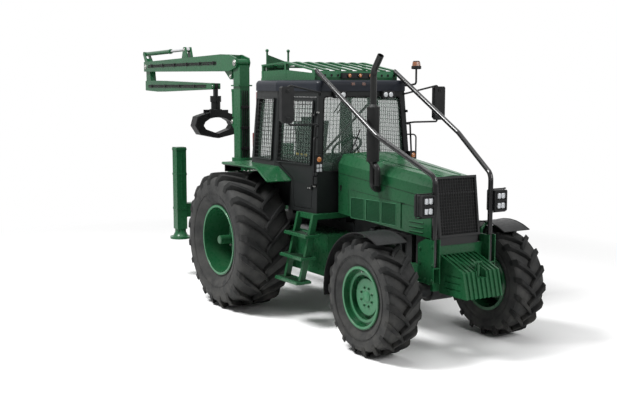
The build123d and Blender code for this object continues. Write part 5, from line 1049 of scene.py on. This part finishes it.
finish("slew_ring_bolts", bolts, BOLT, "chassis")
bands = bmesh.new()
for s in (1, -1):
    for z in (1000.0, 1500.0, 1860.0):
        box_mm(bands, LEG_X - 81, LEG_X + 81, s * (LEG_Y - 81), s * (LEG_Y + 81), z - 16, z + 16, 5.0)
finish("stabilizer_bands", bands, GREEN, "chassis")
for side, s in SIDES:
    foot = bmesh.new()
    add_lathe(foot, at(LEG_X, s * LEG_Y, 0), [
        (0.070, 0.70), (0.078, 0.66), (0.105, 0.605), (0.125, 0.591), (0.06, 0.590)], 32, "Z")
    finish(f"stabilizer_foot_{side}", foot, GREEN, f"stabilizer_{side}", smooth=True)

# Grapple: stiffening ribs on the jaws
for side, s in SIDES:
    ribs = bmesh.new()
    for x in (HANG_X - 89.0, HANG_X + 89.0):
        route = ((150, 2352), (342, 2298), (380, 2162), (296, 2032), (20, 1978))
        add_tube(ribs, [at(x, s * y, z) for y, z in route], 0.007, 8, 0.05)
    finish(f"jaw_ribs_{side}", ribs, BLACK_AND_SHADE, f"jaw_{side}", smooth=True)

# Studio: pale floor that fades to white, soft light
FLOOR_FADE = (4.2, 7.0)
WORLD_FILL = 0.19
LIGHT_AIM = Vector((1.5, 0, 1.2))


def studio():
    bm = bmesh.new()
    bmesh.ops.create_grid(bm, x_segments=1, y_segments=1, size=80.0)
    mesh = bpy.data.meshes.new("floor")
    bm.to_mesh(mesh)
    bm.free()
    mat, tree, bsdf = shader("floor_paper")
    tree.links.new(ramp(tree, noise(tree, 0.6, 3.0), 0.3, 0.7, (0.985, 0.985, 0.985), (0.995, 0.995, 0.995)),
                   bsdf.inputs["Base Color"])
    put(bsdf, {"Roughness": 0.9, "Specular IOR Level": 0.1})
    geo = add(tree, "ShaderNodeNewGeometry")
    far = add(tree, "ShaderNodeVectorMath", operation="LENGTH")
    tree.links.new(geo.outputs["Position"], far.inputs[0])
    fade = level(tree, far.outputs["Value"], *FLOOR_FADE, 0.0, 1.0)
    path = add(tree, "ShaderNodeLightPath")
    seen = add(tree, "ShaderNodeMath", operation="MULTIPLY")
    tree.links.new(fade, seen.inputs[0])
    tree.links.new(path.outputs["Is Camera Ray"], seen.inputs[1])
    white = add(tree, "ShaderNodeEmission")
    both = add(tree, "ShaderNodeMixShader")
    tree.links.new(seen.outputs["Value"], both.inputs["Fac"])
    tree.links.new(bsdf.outputs["BSDF"], both.inputs[1])
    tree.links.new(white.outputs["Emission"], both.inputs[2])
    tree.links.new(both.outputs["Shader"], tree.nodes["Material Output"].inputs["Surface"])
    mesh.materials.append(mat)
    floor = bpy.data.objects.new("floor", mesh)
    bpy.context.scene.collection.objects.link(floor)
    world = bpy.data.worlds.new("studio")
    bpy.context.scene.world = world
    world.use_nodes = True
    tree = world.node_tree
    back = tree.nodes["Background"]
    path = add(tree, "ShaderNodeLightPath")
    first = add(tree, "ShaderNodeMath", operation="MAXIMUM")
    second = add(tree, "ShaderNodeMath", operation="MAXIMUM")
    tree.links.new(path.outputs["Is Camera Ray"], first.inputs[0])
    tree.links.new(path.outputs["Is Glossy Ray"], first.inputs[1])
    tree.links.new(first.outputs[0], second.inputs[0])
    tree.links.new(path.outputs["Is Transmission Ray"], second.inputs[1])
    strength = add(tree, "ShaderNodeMapRange")
    put(strength, {"To Min": WORLD_FILL, "To Max": 1.0})
    tree.links.new(second.outputs[0], strength.inputs["Value"])
    put(back, {"Color": (1, 1, 1, 1)})
    tree.links.new(strength.outputs["Result"], back.inputs["Strength"])
    for name, where, size, power in (
        ("key", (0.0, -7.0, 11.5), 3.6, 2000.0),
        ("fill", (11.0, 2.0, 6.0), 4.0, 420.0),
        ("top", (3.0, -1.0, 11.0), 7.0, 420.0),
    ):
        light = bpy.data.lights.new(name, "AREA")
        light.size = size
        light.energy = power
        lamp = bpy.data.objects.new(name, light)
        lamp.location = where
        lamp.rotation_euler = (LIGHT_AIM - Vector(where)).to_track_quat("-Z", "Y").to_euler()
        bpy.context.scene.collection.objects.link(lamp)


studio()

# Camera at the photograph's viewing angle
eye = bpy.data.cameras.new("eye")
eye.sensor_width = 36.0
eye.lens = 55.47
eye.clip_end = 300.0
camera = bpy.data.objects.new("eye", eye)
camera.location = at(10665.6, -6387.2, 2770.1)
yaw = radians(148.91)
pitch = radians(-6.893)
look = Vector((cos(pitch) * cos(yaw), cos(pitch) * sin(yaw), sin(pitch)))
camera.rotation_euler = look.to_track_quat("-Z", "Y").to_euler()
bpy.context.scene.collection.objects.link(camera)
bpy.context.scene.camera = camera
bpy.context.scene.view_settings.view_transform = "Standard"

bpy.context.view_layer.update()
